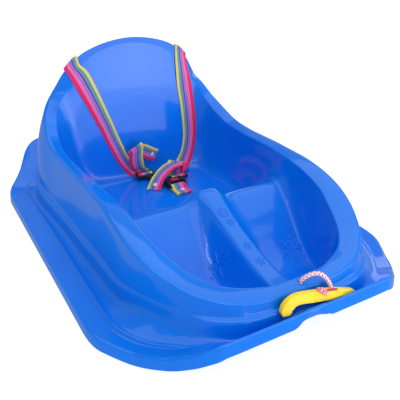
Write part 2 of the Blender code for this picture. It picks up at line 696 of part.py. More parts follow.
def strap_left(tree):
    s = over_rim(tree, -1)
    front = [((-.241, .444), (-.192, .470)), ((-.2275, .413), (-.171, .447)),
             ((-.201, .352), (-.143, .386)), ((-.180, .303), (-.123, .330)),
             ((-.161, .256), (-.104, .274)), ((-.143, .212), (-.088, .226)),
             ((-.127, .167), (-.074, .181)), ((-.108, .118), (-.057, .131)),
             ((-.088, .071), (-.038, .081)), ((-.068, .037), (-.016, .052)),
             ((-.049, .014), (.008, .030)), ((-.036, .005), (.024, .013))]
    for (ax, az), (bx, bz) in front:
        off = .0021 if .35 < az < .44 else .0014
        s.append(section(lay(tree, ax, az, -1, off), lay(tree, bx, bz, -1, off),
                         lay(tree, (ax + bx) / 2, (az + bz) / 2, -1, off)))
    for c, w in (((2.6, 204.4, 26.4), (-32, -.6, -.8)), ((4.0, 201.4, 26.9), (-32, 0, 0)),
                 ((4.0, 199.2, 27.7), (-32, 0, 0))):
        c, w = mm(*c), mm(*w)
        s.append(section(c + w / 2, c - w / 2))
    for y, w in IN_LOCK[2:]:
        s.append(section(lock_point(LOCK_L, TILT_L, y, w, -16),
                         lock_point(LOCK_L, TILT_L, y, w, 16)))
    for c, w in (((3.2, 204.6, 33.9), (-32, .4, 0)),
                 ((1.4, 205.6, 37.0), (-31.8, 1.0, 1.2)),
                 ((-3.6, 204.2, 42.4), (-31.8, .8, 3.0)),
                 ((-8.6, 201.0, 49.0), (-32, 0, 3.8)),
                 ((-11.4, 198.8, 60.0), (-32, 0, 2.4)),
                 ((-12.8, 198.0, 72.0), (-32, 0, .6))):
        c, w = mm(*c), mm(*w)
        s.append(section(c + w / 2, c - w / 2))
    a, b = mm(-29.0, 198.6, 87.5), mm(2.4, 198.6, 104.2)      # fold line
    a2, b2 = mm(18.8, 203.8, 59.4), mm(32.0, 203.8, 84.9)
    s += fold_back(s[-1], a, b, a2, b2)
    s += [section(mm(-6.0, 202.2, 74.0), mm(16.0, 202.2, 95.4)),
          section(a2, b2),
          section(mm(30.2, 205.2, 52.8), mm(43.4, 205.2, 78.2))]
    return s


def fold_back(last, a, b, a2, b2):
    """The same fold with the outgoing layer behind the incoming one."""
    out = fold(last, a, b, a2, b2)
    return out[::-1]


def crotch_loop():
    """Webbing round the socket's front bar, riveted to itself; from below."""
    way = [(88.6, 24.2), (96, 24.2), (104, 24.2), (111, 24.5), (115.5, 25.7),
           (118.5, 26.35), (121.3, 26.35), (122.5, 26.9), (122.9, 28.2), (122.9, 30.8),
           (122.5, 32.1), (121.3, 32.65), (118.5, 32.65), (115.6, 31.9), (113, 30.4),
           (110.9, 28.5), (109, 27.0), (106.8, 26.2), (103, 26.1), (96, 26.1), (88.0, 26.1)]
    return [section(mm(SOCK_X + 16, y, z), mm(SOCK_X - 16, y, z)) for y, z in way]


def plate(bm, cells, z0, z1):
    """Flat solid from plan polygons that share corners."""
    keys = {}

    def vert(p, z):
        k = (round(p[0], 4), round(p[1], 4), z)
        if k not in keys:
            keys[k] = bm.verts.new(mm(p[0], p[1], z))
        return keys[k]
    edges = {}
    for c in cells:
        area = sum(c[i - 1][0] * c[i][1] - c[i][0] * c[i - 1][1] for i in range(len(c)))
        c = c if area > 0 else c[::-1]
        bm.faces.new([vert(p, z1) for p in c])
        bm.faces.new([vert(p, z0) for p in c[::-1]])
        for i in range(len(c)):
            e = ((round(c[i - 1][0], 4), round(c[i - 1][1], 4)),
                 (round(c[i][0], 4), round(c[i][1], 4)))
            edges[e] = 1
    for (p, q) in list(edges):
        if (q, p) not in edges:
            bm.faces.new([vert(p, z0), vert(q, z0), vert(q, z1), vert(p, z1)])


def prong_cells(prong_x, y1):
    """Plan polygons of a prong with its latch window and lead-in; y1 = root."""
    y0, h = y1 - PRONG_L, PRONG_W / 2
    xs = [prong_x - h, prong_x - 2.6, prong_x + 2.6, prong_x + h]
    ys = [y0, y0 + 4.0, y0 + 8.0, y1]
    cells = []
    for j in range(3):
        for i in range(3):
            if (i, j) == (1, 1):
                continue
            c = [(xs[i], ys[j]), (xs[i + 1], ys[j]), (xs[i + 1], ys[j + 1]),
                 (xs[i], ys[j + 1])]
            if j == 0 and i == 0:
                c = [(xs[0] + 1.5, y0), c[1], c[2], c[3], (xs[0], y0 + 2.0)]
            if j == 0 and i == 2:
                c = [c[0], (xs[3] - 1.5, y0), (xs[3], y0 + 2.0), c[2], c[3]]
            cells.append(c)
    return cells, xs


def lock_cells(cx, cy, front):
    """Plan polygons of a ladder lock; front = x stations on its front edge."""
    X = [cx - LOCK_X, cx - SLOT_X, cx + SLOT_X, cx + LOCK_X]
    Y = [cy + b for b in BAR]
    cells = []
    r = 2.2
    stations = sorted(set([X[1], X[2]] + [f for f in front if X[1] < f < X[2]]))
    for j in range(5):
        lo, hi = Y[j], Y[j + 1]
        first, last = j == 0, j == 4
        left = [(X[0], lo), (X[1], lo), (X[1], hi), (X[0], hi)]
        right = [(X[2], lo), (X[3], lo), (X[3], hi), (X[2], hi)]
        if first:
            left = [(X[0] + r, lo), (X[1], lo), (X[1], hi), (X[0], hi), (X[0], lo + r)]
            right = [(X[2], lo), (X[3] - r, lo), (X[3], lo + r), (X[3], hi), (X[2], hi)]
        if last:
            left = [(X[0], lo), (X[1], lo), (X[1], hi), (X[0] + r, hi), (X[0], hi - r)]
            right = [(X[2], lo), (X[3], lo), (X[3], hi - r), (X[3] - r, hi), (X[2], hi)]
        cells += [left, right]
        if j in (0, 2, 4):
            if j == 0:
                mid = [(s, lo) for s in stations] + [(X[2], hi), (X[1], hi)]
            else:
                mid = [(X[1], lo), (X[2], lo), (X[2], hi), (X[1], hi)]
            cells.append(mid)
    return cells


def rounded_plan(wr, wf, y0, y1, r, cx, seg=4, inset=0.0):
    """Rounded outline, width wr at the rear y1 and wf at the front y0."""
    pts = []
    corners = [(wf / 2, y0, 270), (wr / 2, y1, 0), (-wr / 2, y1, 90), (-wf / 2, y0, 180)]
    for x, y, a0 in corners:
        sx, sy = (1 if x > 0 else -1), (1 if y == y1 else -1)
        ox, oy = x - sx * r, y - sy * r
        for k in range(seg + 1):
            a = math.radians(a0 + 90 * k / seg)
            pts.append((cx + ox + (r - inset) * math.cos(a),
                        oy + (r - inset) * math.sin(a)))
    return pts


def block(bm, rings):
    """Solid from stacked outlines [(plan, z), ...], in millimetres."""
    rows = [[bm.verts.new(mm(x, y, z)) for x, y in plan] for plan, z in rings]
    n = len(rows[0])
    for p, q in zip(rows, rows[1:]):
        for k in range(n):
            bm.faces.new([p[k], p[(k + 1) % n], q[(k + 1) % n], q[k]])
    bm.faces.new(rows[0][::-1])
    bm.faces.new(rows[-1])


def box(name, lo, hi):
    """Cutting box from corner to corner, in millimetres."""
    bm = bmesh.new()
    rect = [(lo[0], lo[1]), (hi[0], lo[1]), (hi[0], hi[1]), (lo[0], hi[1])]
    block(bm, [(rect, lo[2]), (rect, hi[2])])
    return cutter(name, bm)


# ---------------------------------------------------------------- tow gear
HANDLE_Y = -.6612                           # middle plane of the handle
BAR_T, BAR_H = 11.2, 15.4                   # grip section, mm
# middle line (x, z) of the handle with thickness and height factors
HANDLE = [(-.0775, .0845, .78, .92), (-.0790, .0925, .92, 1.06), (-.0775, .1010, .97, 1.12),
          (-.0715, .1090, 1, 1.12), (-.0620, .1150, 1, 1.06), (-.0500, .1172, 1, 1.0),
          (-.0360, .1156, 1, .98), (-.0200, .1122, 1, .98), (0, .1070, 1, 1),
          (.0220, .1012, 1, 1), (.0440, .0962, 1, 1), (.0640, .0908, 1, 1),
          (.0820, .0850, .96, 1), (.0980, .0795, .88, .98), (.1120, .0745, .86, .95),
          (.1240, .0700, .86, .92), (.1350, .0650, .86, .92), (.1435, .0585, .86, .92),
          (.1465, .0530, .82, .88), (.1460, .0485, .70, .78)]
HOLE_X, HOLE_Y = .0745, -.6608              # rope hole through the grip
ROPE_OUT = [(0, -.616, .1195), (.0012, -.6160, .1280), (.0055, -.6178, .1370),
            (.0170, -.6225, .1450), (.0350, -.6300, .1490), (.0500, -.6370, .1440),
            (.0600, -.6435, .1345), (.0675, -.6510, .1230), (.0720, -.6570, .1140),
            (.0742, -.6602, .1060), (.0745, -.6608, .0960)]
ROPE_IN = [(0, -.616, .1185), (0, -.6155, .1080), (0, -.6130, .0850), (0, -.6020, .0500),
           (0, -.5800, .0120), (0, -.5450, -.0160), (0, -.4900, -.0335),
           (.002, -.4300, -.0390), (.012, -.3700, -.0393), (.035, -.3100, -.0393),
           (.055, -.2600, -.0393), (.0625, -.2200, -.0393), (.0623, -.1797, -.0393)]
COIL = (0.0, -.068, .0075)                  # middle of the wound-up rope, metres
COIL_R, COIL_W, COIL_H = .0331, .0128, .0120


def handle_line():
    t = np.array(HANDLE)
    pts = spline(np.column_stack([t[:, 0], t[:, 1], t[:, 2] * .1, t[:, 3] * .1]), .0085)
    return pts[:, 0], pts[:, 1], pts[:, 2] * 10, pts[:, 3] * 10


def handle_frame():
    """Points, up-directions and half sizes along the handle's middle line."""
    x, z, ft, fh = handle_line()
    c = np.array([P(a, HANDLE_Y, b) for a, b in zip(x, z)])
    t = unit(np.gradient(c, axis=0))
    up = np.column_stack([-t[:, 2], np.zeros(len(t)), t[:, 0]])
    return c, t, up, ft * BAR_T / 2000, fh * BAR_H / 2000


def squircle(k, n, e=2.7):
    a = 2 * math.pi * k / n
    c, s = math.cos(a), math.sin(a)
    return (math.copysign(abs(c) ** (2 / e), c), math.copysign(abs(s) ** (2 / e), s))


def handle_mesh(bm, sides=18):
    c, t, up, ht, hh = handle_frame()
    yy = np.array([0, 1, 0])
    rows = []

    def ring(p, u, a, b):
        rows.append([bm.verts.new(p + yy * a * q[0] + u * b * q[1])
                     for q in (squircle(k, sides) for k in range(sides))])
    for f, g in ((.0030, .55), (.0020, .82), (.0008, .96)):      # rounded tip
        ring(c[0] - t[0] * f, up[0], ht[0] * g, hh[0] * g)
    for i in range(len(c)):
        ring(c[i], up[i], ht[i], hh[i])
    for f, g in ((.0008, .96), (.0020, .82), (.0030, .55)):
        ring(c[-1] + t[-1] * f, up[-1], ht[-1] * g, hh[-1] * g)
    for p, q in zip(rows, rows[1:]):
        for k in range(sides):
            bm.faces.new([p[k], p[(k + 1) % sides], q[(k + 1) % sides], q[k]])
    bm.faces.new(rows[0][::-1])
    bm.faces.new(rows[-1])


def on_handle(x, deg, off):
    """Point over the grip surface: deg 0 = front, 90 = top."""
    c, t, up, ht, hh = handle_frame()
    cx = x * W
    i = int(np.argmin(np.where(np.arange(len(c)) > 6, abs(c[:, 0] - cx), 9)))
    j = i + 1 if c[i, 0] < cx else i - 1
    f = (cx - c[i, 0]) / (c[j, 0] - c[i, 0])
    p, u = c[i] + f * (c[j] - c[i]), unit(up[i] + f * (up[j] - up[i]))
    a = math.radians(deg)
    cs, sn = math.cos(a), math.sin(a)
    r = (abs(cs / ht[i]) ** 2.7 + abs(sn / hh[i]) ** 2.7) ** (-1 / 2.7)
    d = np.array([0, -cs, 0]) + u * sn
    return p + d * (r + off)


def cord(name, points, step, mat):
    """Tow rope as a poly curve with a round bevel."""
    pts = spline([P(*p) for p in points], step)
    cu = bpy.data.curves.new(name, "CURVE")
    cu.dimensions = "3D"
    cu.bevel_depth = ROPE_R
    cu.bevel_resolution = 3
    cu.use_fill_caps = True
    sp = cu.splines.new("POLY")
    sp.points.add(len(pts) - 1)
    for q, p in zip(sp.points, pts):
        q.co = (*p, 1)
    ob = bpy.data.objects.new(name, cu)
    bpy.context.scene.collection.objects.link(ob)
    cu.materials.append(mat)
    return ob


def coil_mesh(bm, sides=44):
    """Four turns of rope as one turned ring with grooves between the turns."""
    sec = []
    for k in range(20):
        a = 2 * math.pi * k / 20
        q = squircle(k, 20, 3.4)
        dip = 1 - .05 * math.cos(4 * a) ** 8 * (1 if k % 5 == 0 else 0)
        sec.append((COIL_R + q[0] * COIL_W / 2 * dip, q[1] * COIL_H / 2 * dip))
    rows = []
    for j in range(sides):
        b = 2 * math.pi * j / sides
        rows.append([bm.verts.new((COIL[0] + r * math.cos(b), COIL[1] + r * math.sin(b),
                                   COIL[2] + z)) for r, z in sec])
    for j in range(sides):
        p, q = rows[j], rows[(j + 1) % sides]
        for k in range(20):
            bm.faces.new([p[k], p[(k + 1) % 20], q[(k + 1) % 20], q[k]])


def tie_mesh(bm):
    """Flat band closed round the coil's section, at the coil's rear."""
    half = .004
    def outline(g):
        a, b, r = COIL_W / 2 + g, COIL_H / 2 + g, .0022
        pts = []
        for sx, sz, a0 in ((1, 1, 0), (-1, 1, 90), (-1, -1, 180), (1, -1, 270)):
            for k in range(4):
                t = math.radians(a0 + 30 * k)
                pts.append((sx * (a - r) + r * math.cos(t), sz * (b - r) + r * math.sin(t)))
        return pts
    rows = []
    for g, x in ((GAP, -half), (GAP + .0010, -half), (GAP + .0010, half), (GAP, half)):
        rows.append([bm.verts.new((COIL[0] + x, COIL[1] + COIL_R + p, COIL[2] + q))
                     for p, q in outline(g)])
    for i in range(4):
        p, q = rows[i], rows[(i + 1) % 4]
        for k in range(16):
            bm.faces.new([p[k], p[(k + 1) % 16], q[(k + 1) % 16], q[k]])


def ball(bm, c, size, nu=16, nv=10, twist=0.0):
    """Egg-shaped knot body."""
    rows = []
    for j in range(1, nv):
        v = math.pi * j / nv
        rows.append([bm.verts.new((c[0] + size[0] * math.sin(v) * math.cos(t),
                                   c[1] + size[1] * math.sin(v) * math.sin(t),
                                   c[2] - size[2] * math.cos(v)))
                     for t in (2 * math.pi * k / nu + twist for k in range(nu))])
    lo = bm.verts.new((c[0], c[1], c[2] - size[2]))
    hi = bm.verts.new((c[0], c[1], c[2] + size[2]))
    for p, q in zip(rows, rows[1:]):
        for k in range(nu):
            bm.faces.new([p[k], p[(k + 1) % nu], q[(k + 1) % nu], q[k]])
    for k in range(nu):
        bm.faces.new([lo, rows[0][(k + 1) % nu], rows[0][k]])
        bm.faces.new([hi, rows[-1][k], rows[-1][(k + 1) % nu]])


def hole(name, at, axis, r, lo, hi, sides=14):
    bm = bmesh.new()
    lathe(bm, at, axis, [(r, lo), (r, hi)], sides)
    return cutter(name, bm)


def anchor(tag, at, axis, shank, under, mat):
    """Rivet through webbing and shell, and its washer against the far face."""
    bm = bmesh.new()
    rivet(bm, at, axis, .0046, .0016, shank, 14, tail=.0030)
    add("anchor_rivet_" + tag, bm, mat)
    bm = bmesh.new()
    ring_solid(bm, under, -axis, .0020, .0050, .0009)
    add("anchor_washer_" + tag, bm, mat)


def ring_solid(bm, centre, axis, r0, r1, h, sides=16):
    """Flat washer standing on its centre point along axis."""
    s, b, a = frame(axis)
    c = Vector(centre)
    rows = [[bm.verts.new(c + a * z + r * (s * math.cos(t) + b * math.sin(t)))
             for t in (2 * math.pi * k / sides for k in range(sides))]
            for r, z in ((r0, 0), (r1, 0), (r1, h), (r0, h))]
    for i in range(4):
        p, q = rows[i], rows[(i + 1) % 4]
        for k in range(sides):
            bm.faces.new([p[k], p[(k + 1) % sides], q[(k + 1) % sides], q[k]])


# ---------------------------------------------------------------- build
def main():
    for ob in list(bpy.data.objects):
        bpy.data.objects.remove(ob, do_unlink=True)
    blue = material("shell_blue", (.012, .145, .80), .22)
    yellow = material("handle_yellow", (.95, .72, .06), .30)
    rope = material("rope_braid", (.86, .62, .66), .85)
    webbing = material("webbing_stripes", (.45, .20, .42), .90)
    black = material("buckle_black", (.012, .012, .015), .35)
    red = material("button_red", (.60, .02, .02), .35)
    steel = material("rivet_steel", (.62, .63, .65), .35, 1.0)
    white = material("cap_white", (.85, .85, .84), .40)

    # shell with its runners and holes
    me = shell_mesh()
    shell = add("sled_shell", me, blue)
    bm = bmesh.new()
    bm.from_mesh(me)
    tree = BVHTree.FromBMesh(bm)
    bm.free()
    for k, (x, y0, y1, top) in enumerate(((.15, -.50, -.40, 6.4), (-.15, -.50, -.40, 6.4),
                                          (.15, .13, .34, 19.4), (-.15, .13, .34, 19.4))):
        c, a, b = x * W * 1000, (y0 + YC) * W * 1000, (y1 + YC) * W * 1000
        bm = bmesh.new()
        r = rounded_plan(9, 9, a, b, 3.0, c, 3)
        lo = rounded_plan(9, 9, a, b, 3.0, c, 3, inset=1.0)
        block(bm, [(lo, 0), (r, 1.5), (r, top)])
        cut(shell, cutter("runner_%d" % k, bm), "UNION")
    cut(shell, hole("rope_hole", P(*ROPE_HOLE), (0, 0, 1), ROPE_HOLE_R, -.03, .02, 20))

    # shoulder straps, their rivets behind the backrest, and the tail rivets
    for name, secs in (("shoulder_strap_left", strap_left(tree)),
                       ("shoulder_strap_right", strap_right(tree))):
        bm = bmesh.new()
        web(bm, secs, WEB_T)
        ob = add(name, bm, webbing)
        tag = name[15:]
        q, n = at_station(secs[::-1], .012)
        if n[1] < 0:
            n = -n
        hit, hn, _, _ = tree.ray_cast(Vector(q), Vector(-n))
        axis = Vector(hn)
        inner, _, _, dist = tree.ray_cast(hit - axis * .0005, -axis)
        wall = (hit - inner).length
        lift = (Vector(q) - hit).length + WEB_T / 2 + .0003
        at = hit + axis * lift
        shank = lift + wall + .0022
        anchor(tag, at, axis, shank, hit - axis * (wall + .0008), steel)
        tool = hole("rivet_hole_" + tag, at, axis, .0019, -.0100, .0040)
        cut(shell, tool)
        cut(ob, tool)
        q, n = at_station(secs, .0115)
        if n[1] > 0:
            n = -n
        if name.endswith("right") and n[2] < 0:
            n = -n
        n = Vector(n)
        at = Vector(q) + n * (WEB_T / 2 + .0002)
        t = WEB_T + .0004
        bm = bmesh.new()
        lathe(bm, at, n, [(0, -t - .0008), (.0030, -t - .0008), (.0036, -t - .0002),
                            (.0036, -t), (.0013, -t), (.0013, 0), (.0040, 0),
                            (.0040, .0006), (.0032, .0014), (.0015, .0018), (0, .0019)], 16)
        add("tail_rivet_" + tag, bm, white)
        cut(ob, hole("cap_hole_" + tag, at, n, .0016, -.004, .003, 12))

    # crotch strap flat on the seat, and its loop on the socket
    secs = []
    for y in (89.4, 96, 104, 112, 120, 128, 134, 142):
        row = [Vector(mm(SOCK_X + dx, y, 60)) for dx in (16, 0, -16)]
        z = max(tree.ray_cast(r, Vector((0, 0, -1)))[0].z for r in row)
        secs.append(section(mm(SOCK_X + 16, y, 0) + (0, 0, z + .0011),
                            mm(SOCK_X - 16, y, 0) + (0, 0, z + .0011)))
    bm = bmesh.new()
    web(bm, secs, WEB_T)
    crotch = add("crotch_strap", bm, webbing)
    at = Vector(mm(SOCK_X, 134, 0) + (0, 0, secs[6][1][2] + WEB_T / 2 + .0002))
    under = tree.ray_cast(Vector((at.x, at.y, 0)), Vector((0, 0, 1)))[0].z
    anchor("crotch", at, Vector((0, 0, 1)), at.z - under + .0015,
           Vector((at.x, at.y, under - GAP)), steel)
    tool = hole("rivet_hole_crotch", at, (0, 0, 1), .0019, -.010, .004)
    cut(shell, tool)
    cut(crotch, tool)

    root = empty("buckle_axis", mm(SOCK_X, (SOCK_Y[0] + SOCK_Y[1]) / 2, sum(SOCK_Z) / 2))
    bm = bmesh.new()
    loop_s = crotch_loop()
    web(bm, loop_s, WEB_T)
    lp = add("crotch_strap_loop", bm, webbing, root)
    at = Vector(mm(SOCK_X + 1.5, 101.5, 26.15 + .8 + .2))
    bm = bmesh.new()
    lathe(bm, at, (0, 0, 1), [(0, -.0036), (.0030, -.0036), (.0034, -.0032),
                              (.0013, -.0032), (.0013, 0), (.0040, 0), (.0040, .0006),
                              (.0032, .0014), (.0015, .0018), (0, .0019)], 16)
    add("loop_rivet", bm, white, root)
    cut(lp, hole("loop_hole", at, (0, 0, 1), .0038, -.0055, -.0029, 12))
    cut(lp, hole("loop_hole_top", at, (0, 0, 1), .0016, -.0032, .003, 12))

    # buckle
    bm = bmesh.new()
    y0, y1 = SOCK_Y
    z0, z1 = SOCK_Z
    full = lambda i: rounded_plan(41, 41, y0, y1, 4.5, SOCK_X, 4, inset=i)
    block(bm, [(full(1.2), z0), (full(0), z0 + 1.2), (full(0), z1 - 2.4),
               (full(.8), z1 - .9), (full(2.4), z1)])
    socket = add("buckle_socket", bm, black, root)
    m = PRONG_W / 2 + .5
    for k, s in enumerate((-1, 1)):
        x = SOCK_X + s * PRONG
        cut(socket, box("mouth_%d" % k, (x - m, y1 - 16.0, 28.6 - 2.0), (x + m, y1 + 3, 28.6 + 3.2)))
    cut(socket, box("web_slot", (SOCK_X - 16.7, y0 + 3.6, z0 - 3), (SOCK_X + 16.7, y0 + 7.4, z1 + 3)))
    cut(socket, box("bar_top", (SOCK_X - 16.7, y0 - 3, 31.5), (SOCK_X + 16.7, y0 + 4.5, z1 + 3)))
    cut(socket, box("bar_under", (SOCK_X - 16.7, y0 - 3, z0 - 3), (SOCK_X + 16.7, y0 + 4.5, 27.5)))
    bm = bmesh.new()
    plan = rounded_plan(18.7, 18.7, 129.3, 140.7, 4.2, SOCK_X, 4)
    block(bm, [(plan, 33.2), (plan, z1 + 2)])
    cut(socket, cutter("button_well", bm))
    bm = bmesh.new()
    cap = lambda i: rounded_plan(18, 18, 129.65, 140.35, 3.85, SOCK_X, 4, inset=i)
    block(bm, [(cap(0), 35.4), (cap(0), 36.9), (cap(.6), 37.5)])
    press = empty("button_axis", mm(SOCK_X, 135, 36.4))
    press.parent = root
    press.matrix_parent_inverse = root.matrix_world.inverted()
    bpy.context.view_layer.update()
    add("release_button", bm, red, press)

    zp = 29.2
    ry = y1 + .6
    cells, xs = prong_cells(SOCK_X + PRONG, ry)
    bm = bmesh.new()
    plate(bm, cells + lock_cells(LOCK_R[0], LOCK_R[1], xs), zp - PLATE / 2, zp + PLATE / 2)
    add("buckle_tongue_right", bm, black)
    cells, xs = prong_cells(SOCK_X - PRONG, ry)
    flat = BEND_L + (LOCK_L[1] - BEND_L) / math.cos(math.radians(TILT_L))
    fy = flat + BAR[0]
    neck = [[(x, ry) for x in xs] + [(40.0, 151.5), (28.5, 153.5)],
            [(28.5, 153.5), (40.0, 151.5), (17.5, BEND_L), (4.5, BEND_L)],
            [(4.5, BEND_L), (17.5, BEND_L), (14.5, fy), (1.5, fy)]]
    bm = bmesh.new()
    plate(bm, cells + neck + lock_cells(LOCK_L[0], flat, [1.5, 14.5]),
          zp - PLATE / 2, zp + PLATE / 2)
    a = math.radians(TILT_L)
    for v in bm.verts:
        d, h = v.co.y - BEND_L / 1000, v.co.z - zp / 1000
        if d > 1e-6:
            v.co.y = BEND_L / 1000 + d * math.cos(a) - h * math.sin(a)
            v.co.z = zp / 1000 + d * math.sin(a) + h * math.cos(a)
    add("buckle_tongue_left", bm, black)

    # tow handle, rope and the wound-up rest of the rope
    pull = empty("tow_axis", P(HOLE_X, HOLE_Y, .10))
    bm = bmesh.new()
    handle_mesh(bm)
    handle = add("tow_handle", bm, yellow, pull)
    cut(handle, hole("handle_hole", P(HOLE_X, HOLE_Y, .0885), (0, 0, 1), .0036, -.012, .014, 16))
    bm = bmesh.new()
    way = [on_handle(.0225, 104, .0031), on_handle(.0240, 84, .0034), on_handle(.0275, 62, .0038),
           on_handle(.0320, 46, .0038), on_handle(.0365, 50, .0040), on_handle(.0400, 66, .0040),
           on_handle(.0440, 80, .0035), on_handle(.0490, 84, .0033), on_handle(.0540, 86, .0031),
           on_handle(.0565, 86, .0031)]
    tube_mesh(bm, spline(way, .0024), .0028, 12)
    add("handle_knot", bm, rope, pull)
    t = cord("tow_rope", ROPE_OUT, .0045, rope)
    t.parent = pull
    t.matrix_parent_inverse = pull.matrix_world.inverted()
    cord("tow_rope_lower", ROPE_IN, .0060, rope)
    bm = bmesh.new()
    coil_mesh(bm)
    add("tow_rope_coil", bm, rope)
    bm = bmesh.new()
    tie_mesh(bm)
    add("rope_tie", bm, white)
    bm = bmesh.new()
    d = math.radians(150)
    r = COIL_R + COIL_W / 2 + GAP + .0065
    ball(bm, (COIL[0] + r * math.cos(d), COIL[1] + r * math.sin(d), .0075), (.0065, .0065, .0060))
    add("rope_end_knot", bm, rope)


main()
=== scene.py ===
"""Looks of the toddler sled: high-resolution shell, handle, braided rope,
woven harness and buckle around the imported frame.  Metres, +Z up."""
import bpy
import bmesh
import json
import math
import numpy as np
from mathutils import Matrix, Vector, noise
from mathutils.bvhtree import BVHTree

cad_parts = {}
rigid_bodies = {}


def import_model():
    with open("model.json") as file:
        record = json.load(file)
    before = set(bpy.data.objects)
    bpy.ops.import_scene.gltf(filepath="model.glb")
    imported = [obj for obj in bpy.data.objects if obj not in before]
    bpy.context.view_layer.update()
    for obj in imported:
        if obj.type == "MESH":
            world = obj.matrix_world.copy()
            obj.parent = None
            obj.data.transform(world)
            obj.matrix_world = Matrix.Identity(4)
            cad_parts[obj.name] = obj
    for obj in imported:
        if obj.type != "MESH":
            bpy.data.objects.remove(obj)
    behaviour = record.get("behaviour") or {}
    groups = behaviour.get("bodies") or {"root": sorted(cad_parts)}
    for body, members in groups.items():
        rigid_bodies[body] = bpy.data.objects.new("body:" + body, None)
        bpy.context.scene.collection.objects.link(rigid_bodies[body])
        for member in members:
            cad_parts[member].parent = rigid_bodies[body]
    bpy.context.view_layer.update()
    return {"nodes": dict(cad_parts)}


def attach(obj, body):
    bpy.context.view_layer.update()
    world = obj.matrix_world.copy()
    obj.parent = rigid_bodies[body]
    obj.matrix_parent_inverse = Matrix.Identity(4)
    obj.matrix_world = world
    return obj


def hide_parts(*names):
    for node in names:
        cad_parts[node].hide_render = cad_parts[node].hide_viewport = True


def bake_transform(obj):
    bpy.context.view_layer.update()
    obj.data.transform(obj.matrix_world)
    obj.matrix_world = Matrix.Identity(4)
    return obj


for ob in list(bpy.data.objects):
    bpy.data.objects.remove(ob, do_unlink=True)
frame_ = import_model()
nodes = frame_["nodes"]

# ---------------------------------------------------------------- geometry
# The same outlines, routes and measures as the frame's own, in metres or in
# brim widths W, so that every piece made here lies where the frame has it.

W = 0.530            # brim width, lip to lip
GROUND = 0.045       # side lip height over the ground, in brim widths
YC = 0.002           # shift that puts the origin in the middle of the length
WALL = 0.0066        # sheet thickness, in brim widths (3.5 mm)
GAP = 0.0003         # gap kept between touching pieces
ROPE_R = 0.0030      # tow rope, 6 mm
ROPE_HOLE_R = 0.0042
ROPE_HOLE = (0.0, -0.616, 0.125)
WEB_W = 0.032        # harness webbing
WEB_T = 0.0016
LIP = [(0, 0, -.678, .081), (.06, .10, -.678, .081), (.10, .17, -.678, .081),
       (.15, .262, -.676, .080), (.175, .297, -.663, .067), (.20, .33, -.64, .046),
       (.22, .363, -.61, .026), (.24, .391, -.58, .016), (.26, .415, -.55, .008),
       (.28, .435, -.52, .002), (.30, .454, -.49, 0), (.32, .472, -.46, 0),
       (.34, .488, -.43, 0), (.36, .497, -.395, 0), (.38, .50, -.35, 0),
       (.55, .50, .06, 0), (.72, .50, .46, 0), (.74, .497, .495, .002),
       (.76, .483, .535, .007), (.78, .462, .565, .016), (.80, .443, .590, .027),
       (.82, .425, .612, .043), (.84, .408, .632, .067), (.86, .390, .648, .096),
       (.88, .366, .660, .120), (.90, .335, .667, .133), (.93, .25, .672, .137),
       (1, 0, .674, .138)]
BEAD = [(0, 0, -.6625, .040), (.06, .092, -.6625, .040), (.10, .155, -.661, .040),
        (.15, .235, -.648, .040), (.175, .272, -.630, .037), (.20, .302, -.604, .029),
        (.22, .328, -.578, .019), (.24, .352, -.552, .011), (.26, .375, -.526, .005),
        (.28, .394, -.500, .001), (.30, .410, -.474, 0), (.32, .424, -.446, 0),
        (.34, .434, -.413, 0), (.36, .4395, -.380, 0), (.38, .441, -.345, 0),
        (.55, .441, .06, 0), (.72, .441, .44, 0), (.76, .432, .49, .004),
        (.80, .402, .536, .015), (.84, .366, .571, .040), (.88, .32, .596, .065),
        (.93, .23, .612, .080), (1, 0, .616, .083)]
CREASE = [(0, 0, -.653, .040), (.058, .080, -.653, .040), (.066, .090, -.653, .040),
          (.10, .137, -.651, .040), (.15, .204, -.640, .040), (.175, .234, -.625, .040),
          (.20, .262, -.602, .040), (.22, .281, -.581, .040), (.24, .296, -.557, .040),
          (.26, .308, -.533, .039), (.28, .320, -.507, .038), (.30, .331, -.480, .036),
          (.32, .342, -.453, .033), (.34, .352, -.420, .028), (.36, .363, -.388, .020),
          (.38, .373, -.356, .011), (.405, .387, -.297, 0), (.413, .390, -.276, 0),
          (.46, .395, -.15, 0), (.50, .401, -.05, 0), (.55, .404, .06, 0),
          (.60, .409, .165, 0), (.66, .417, .28, 0), (.72, .420, .378, 0),
          (.76, .415, .436, 0), (.80, .399, .486, 0), (.84, .368, .517, 0),
          (.88, .325, .532, .002), (.93, .224, .538, .003), (1, 0, .540, .003)]
LEDGE = [(0, 0, -.650, .086), (.058, .078, -.650, .086), (.066, .088, -.650, .086),
         (.10, .134, -.647, .086), (.15, .197, -.633, .086), (.175, .222, -.620, .0855),
         (.20, .248, -.601, .085), (.22, .268, -.582, .084), (.24, .284, -.560, .083),
         (.26, .298, -.537, .081), (.28, .310, -.513, .080), (.30, .321, -.490, .078),
         (.32, .332, -.466, .075), (.34, .343, -.432, .070), (.36, .354, -.398, .065),
         (.38, .365, -.363, .060), (.405, .380, -.296, .051), (.413, .382, -.276, .050),
         (.46, .387, -.15, .050), (.50, .393, -.05, .050), (.55, .397, .06, .050),
         (.60, .402, .165, .050), (.66, .410, .28, .050), (.72, .413, .375, .050),
         (.76, .408, .43, .050), (.80, .392, .478, .050), (.84, .362, .508, .050),
         (.88, .32, .522, .050), (.93, .22, .528, .050), (1, 0, .530, .050)]
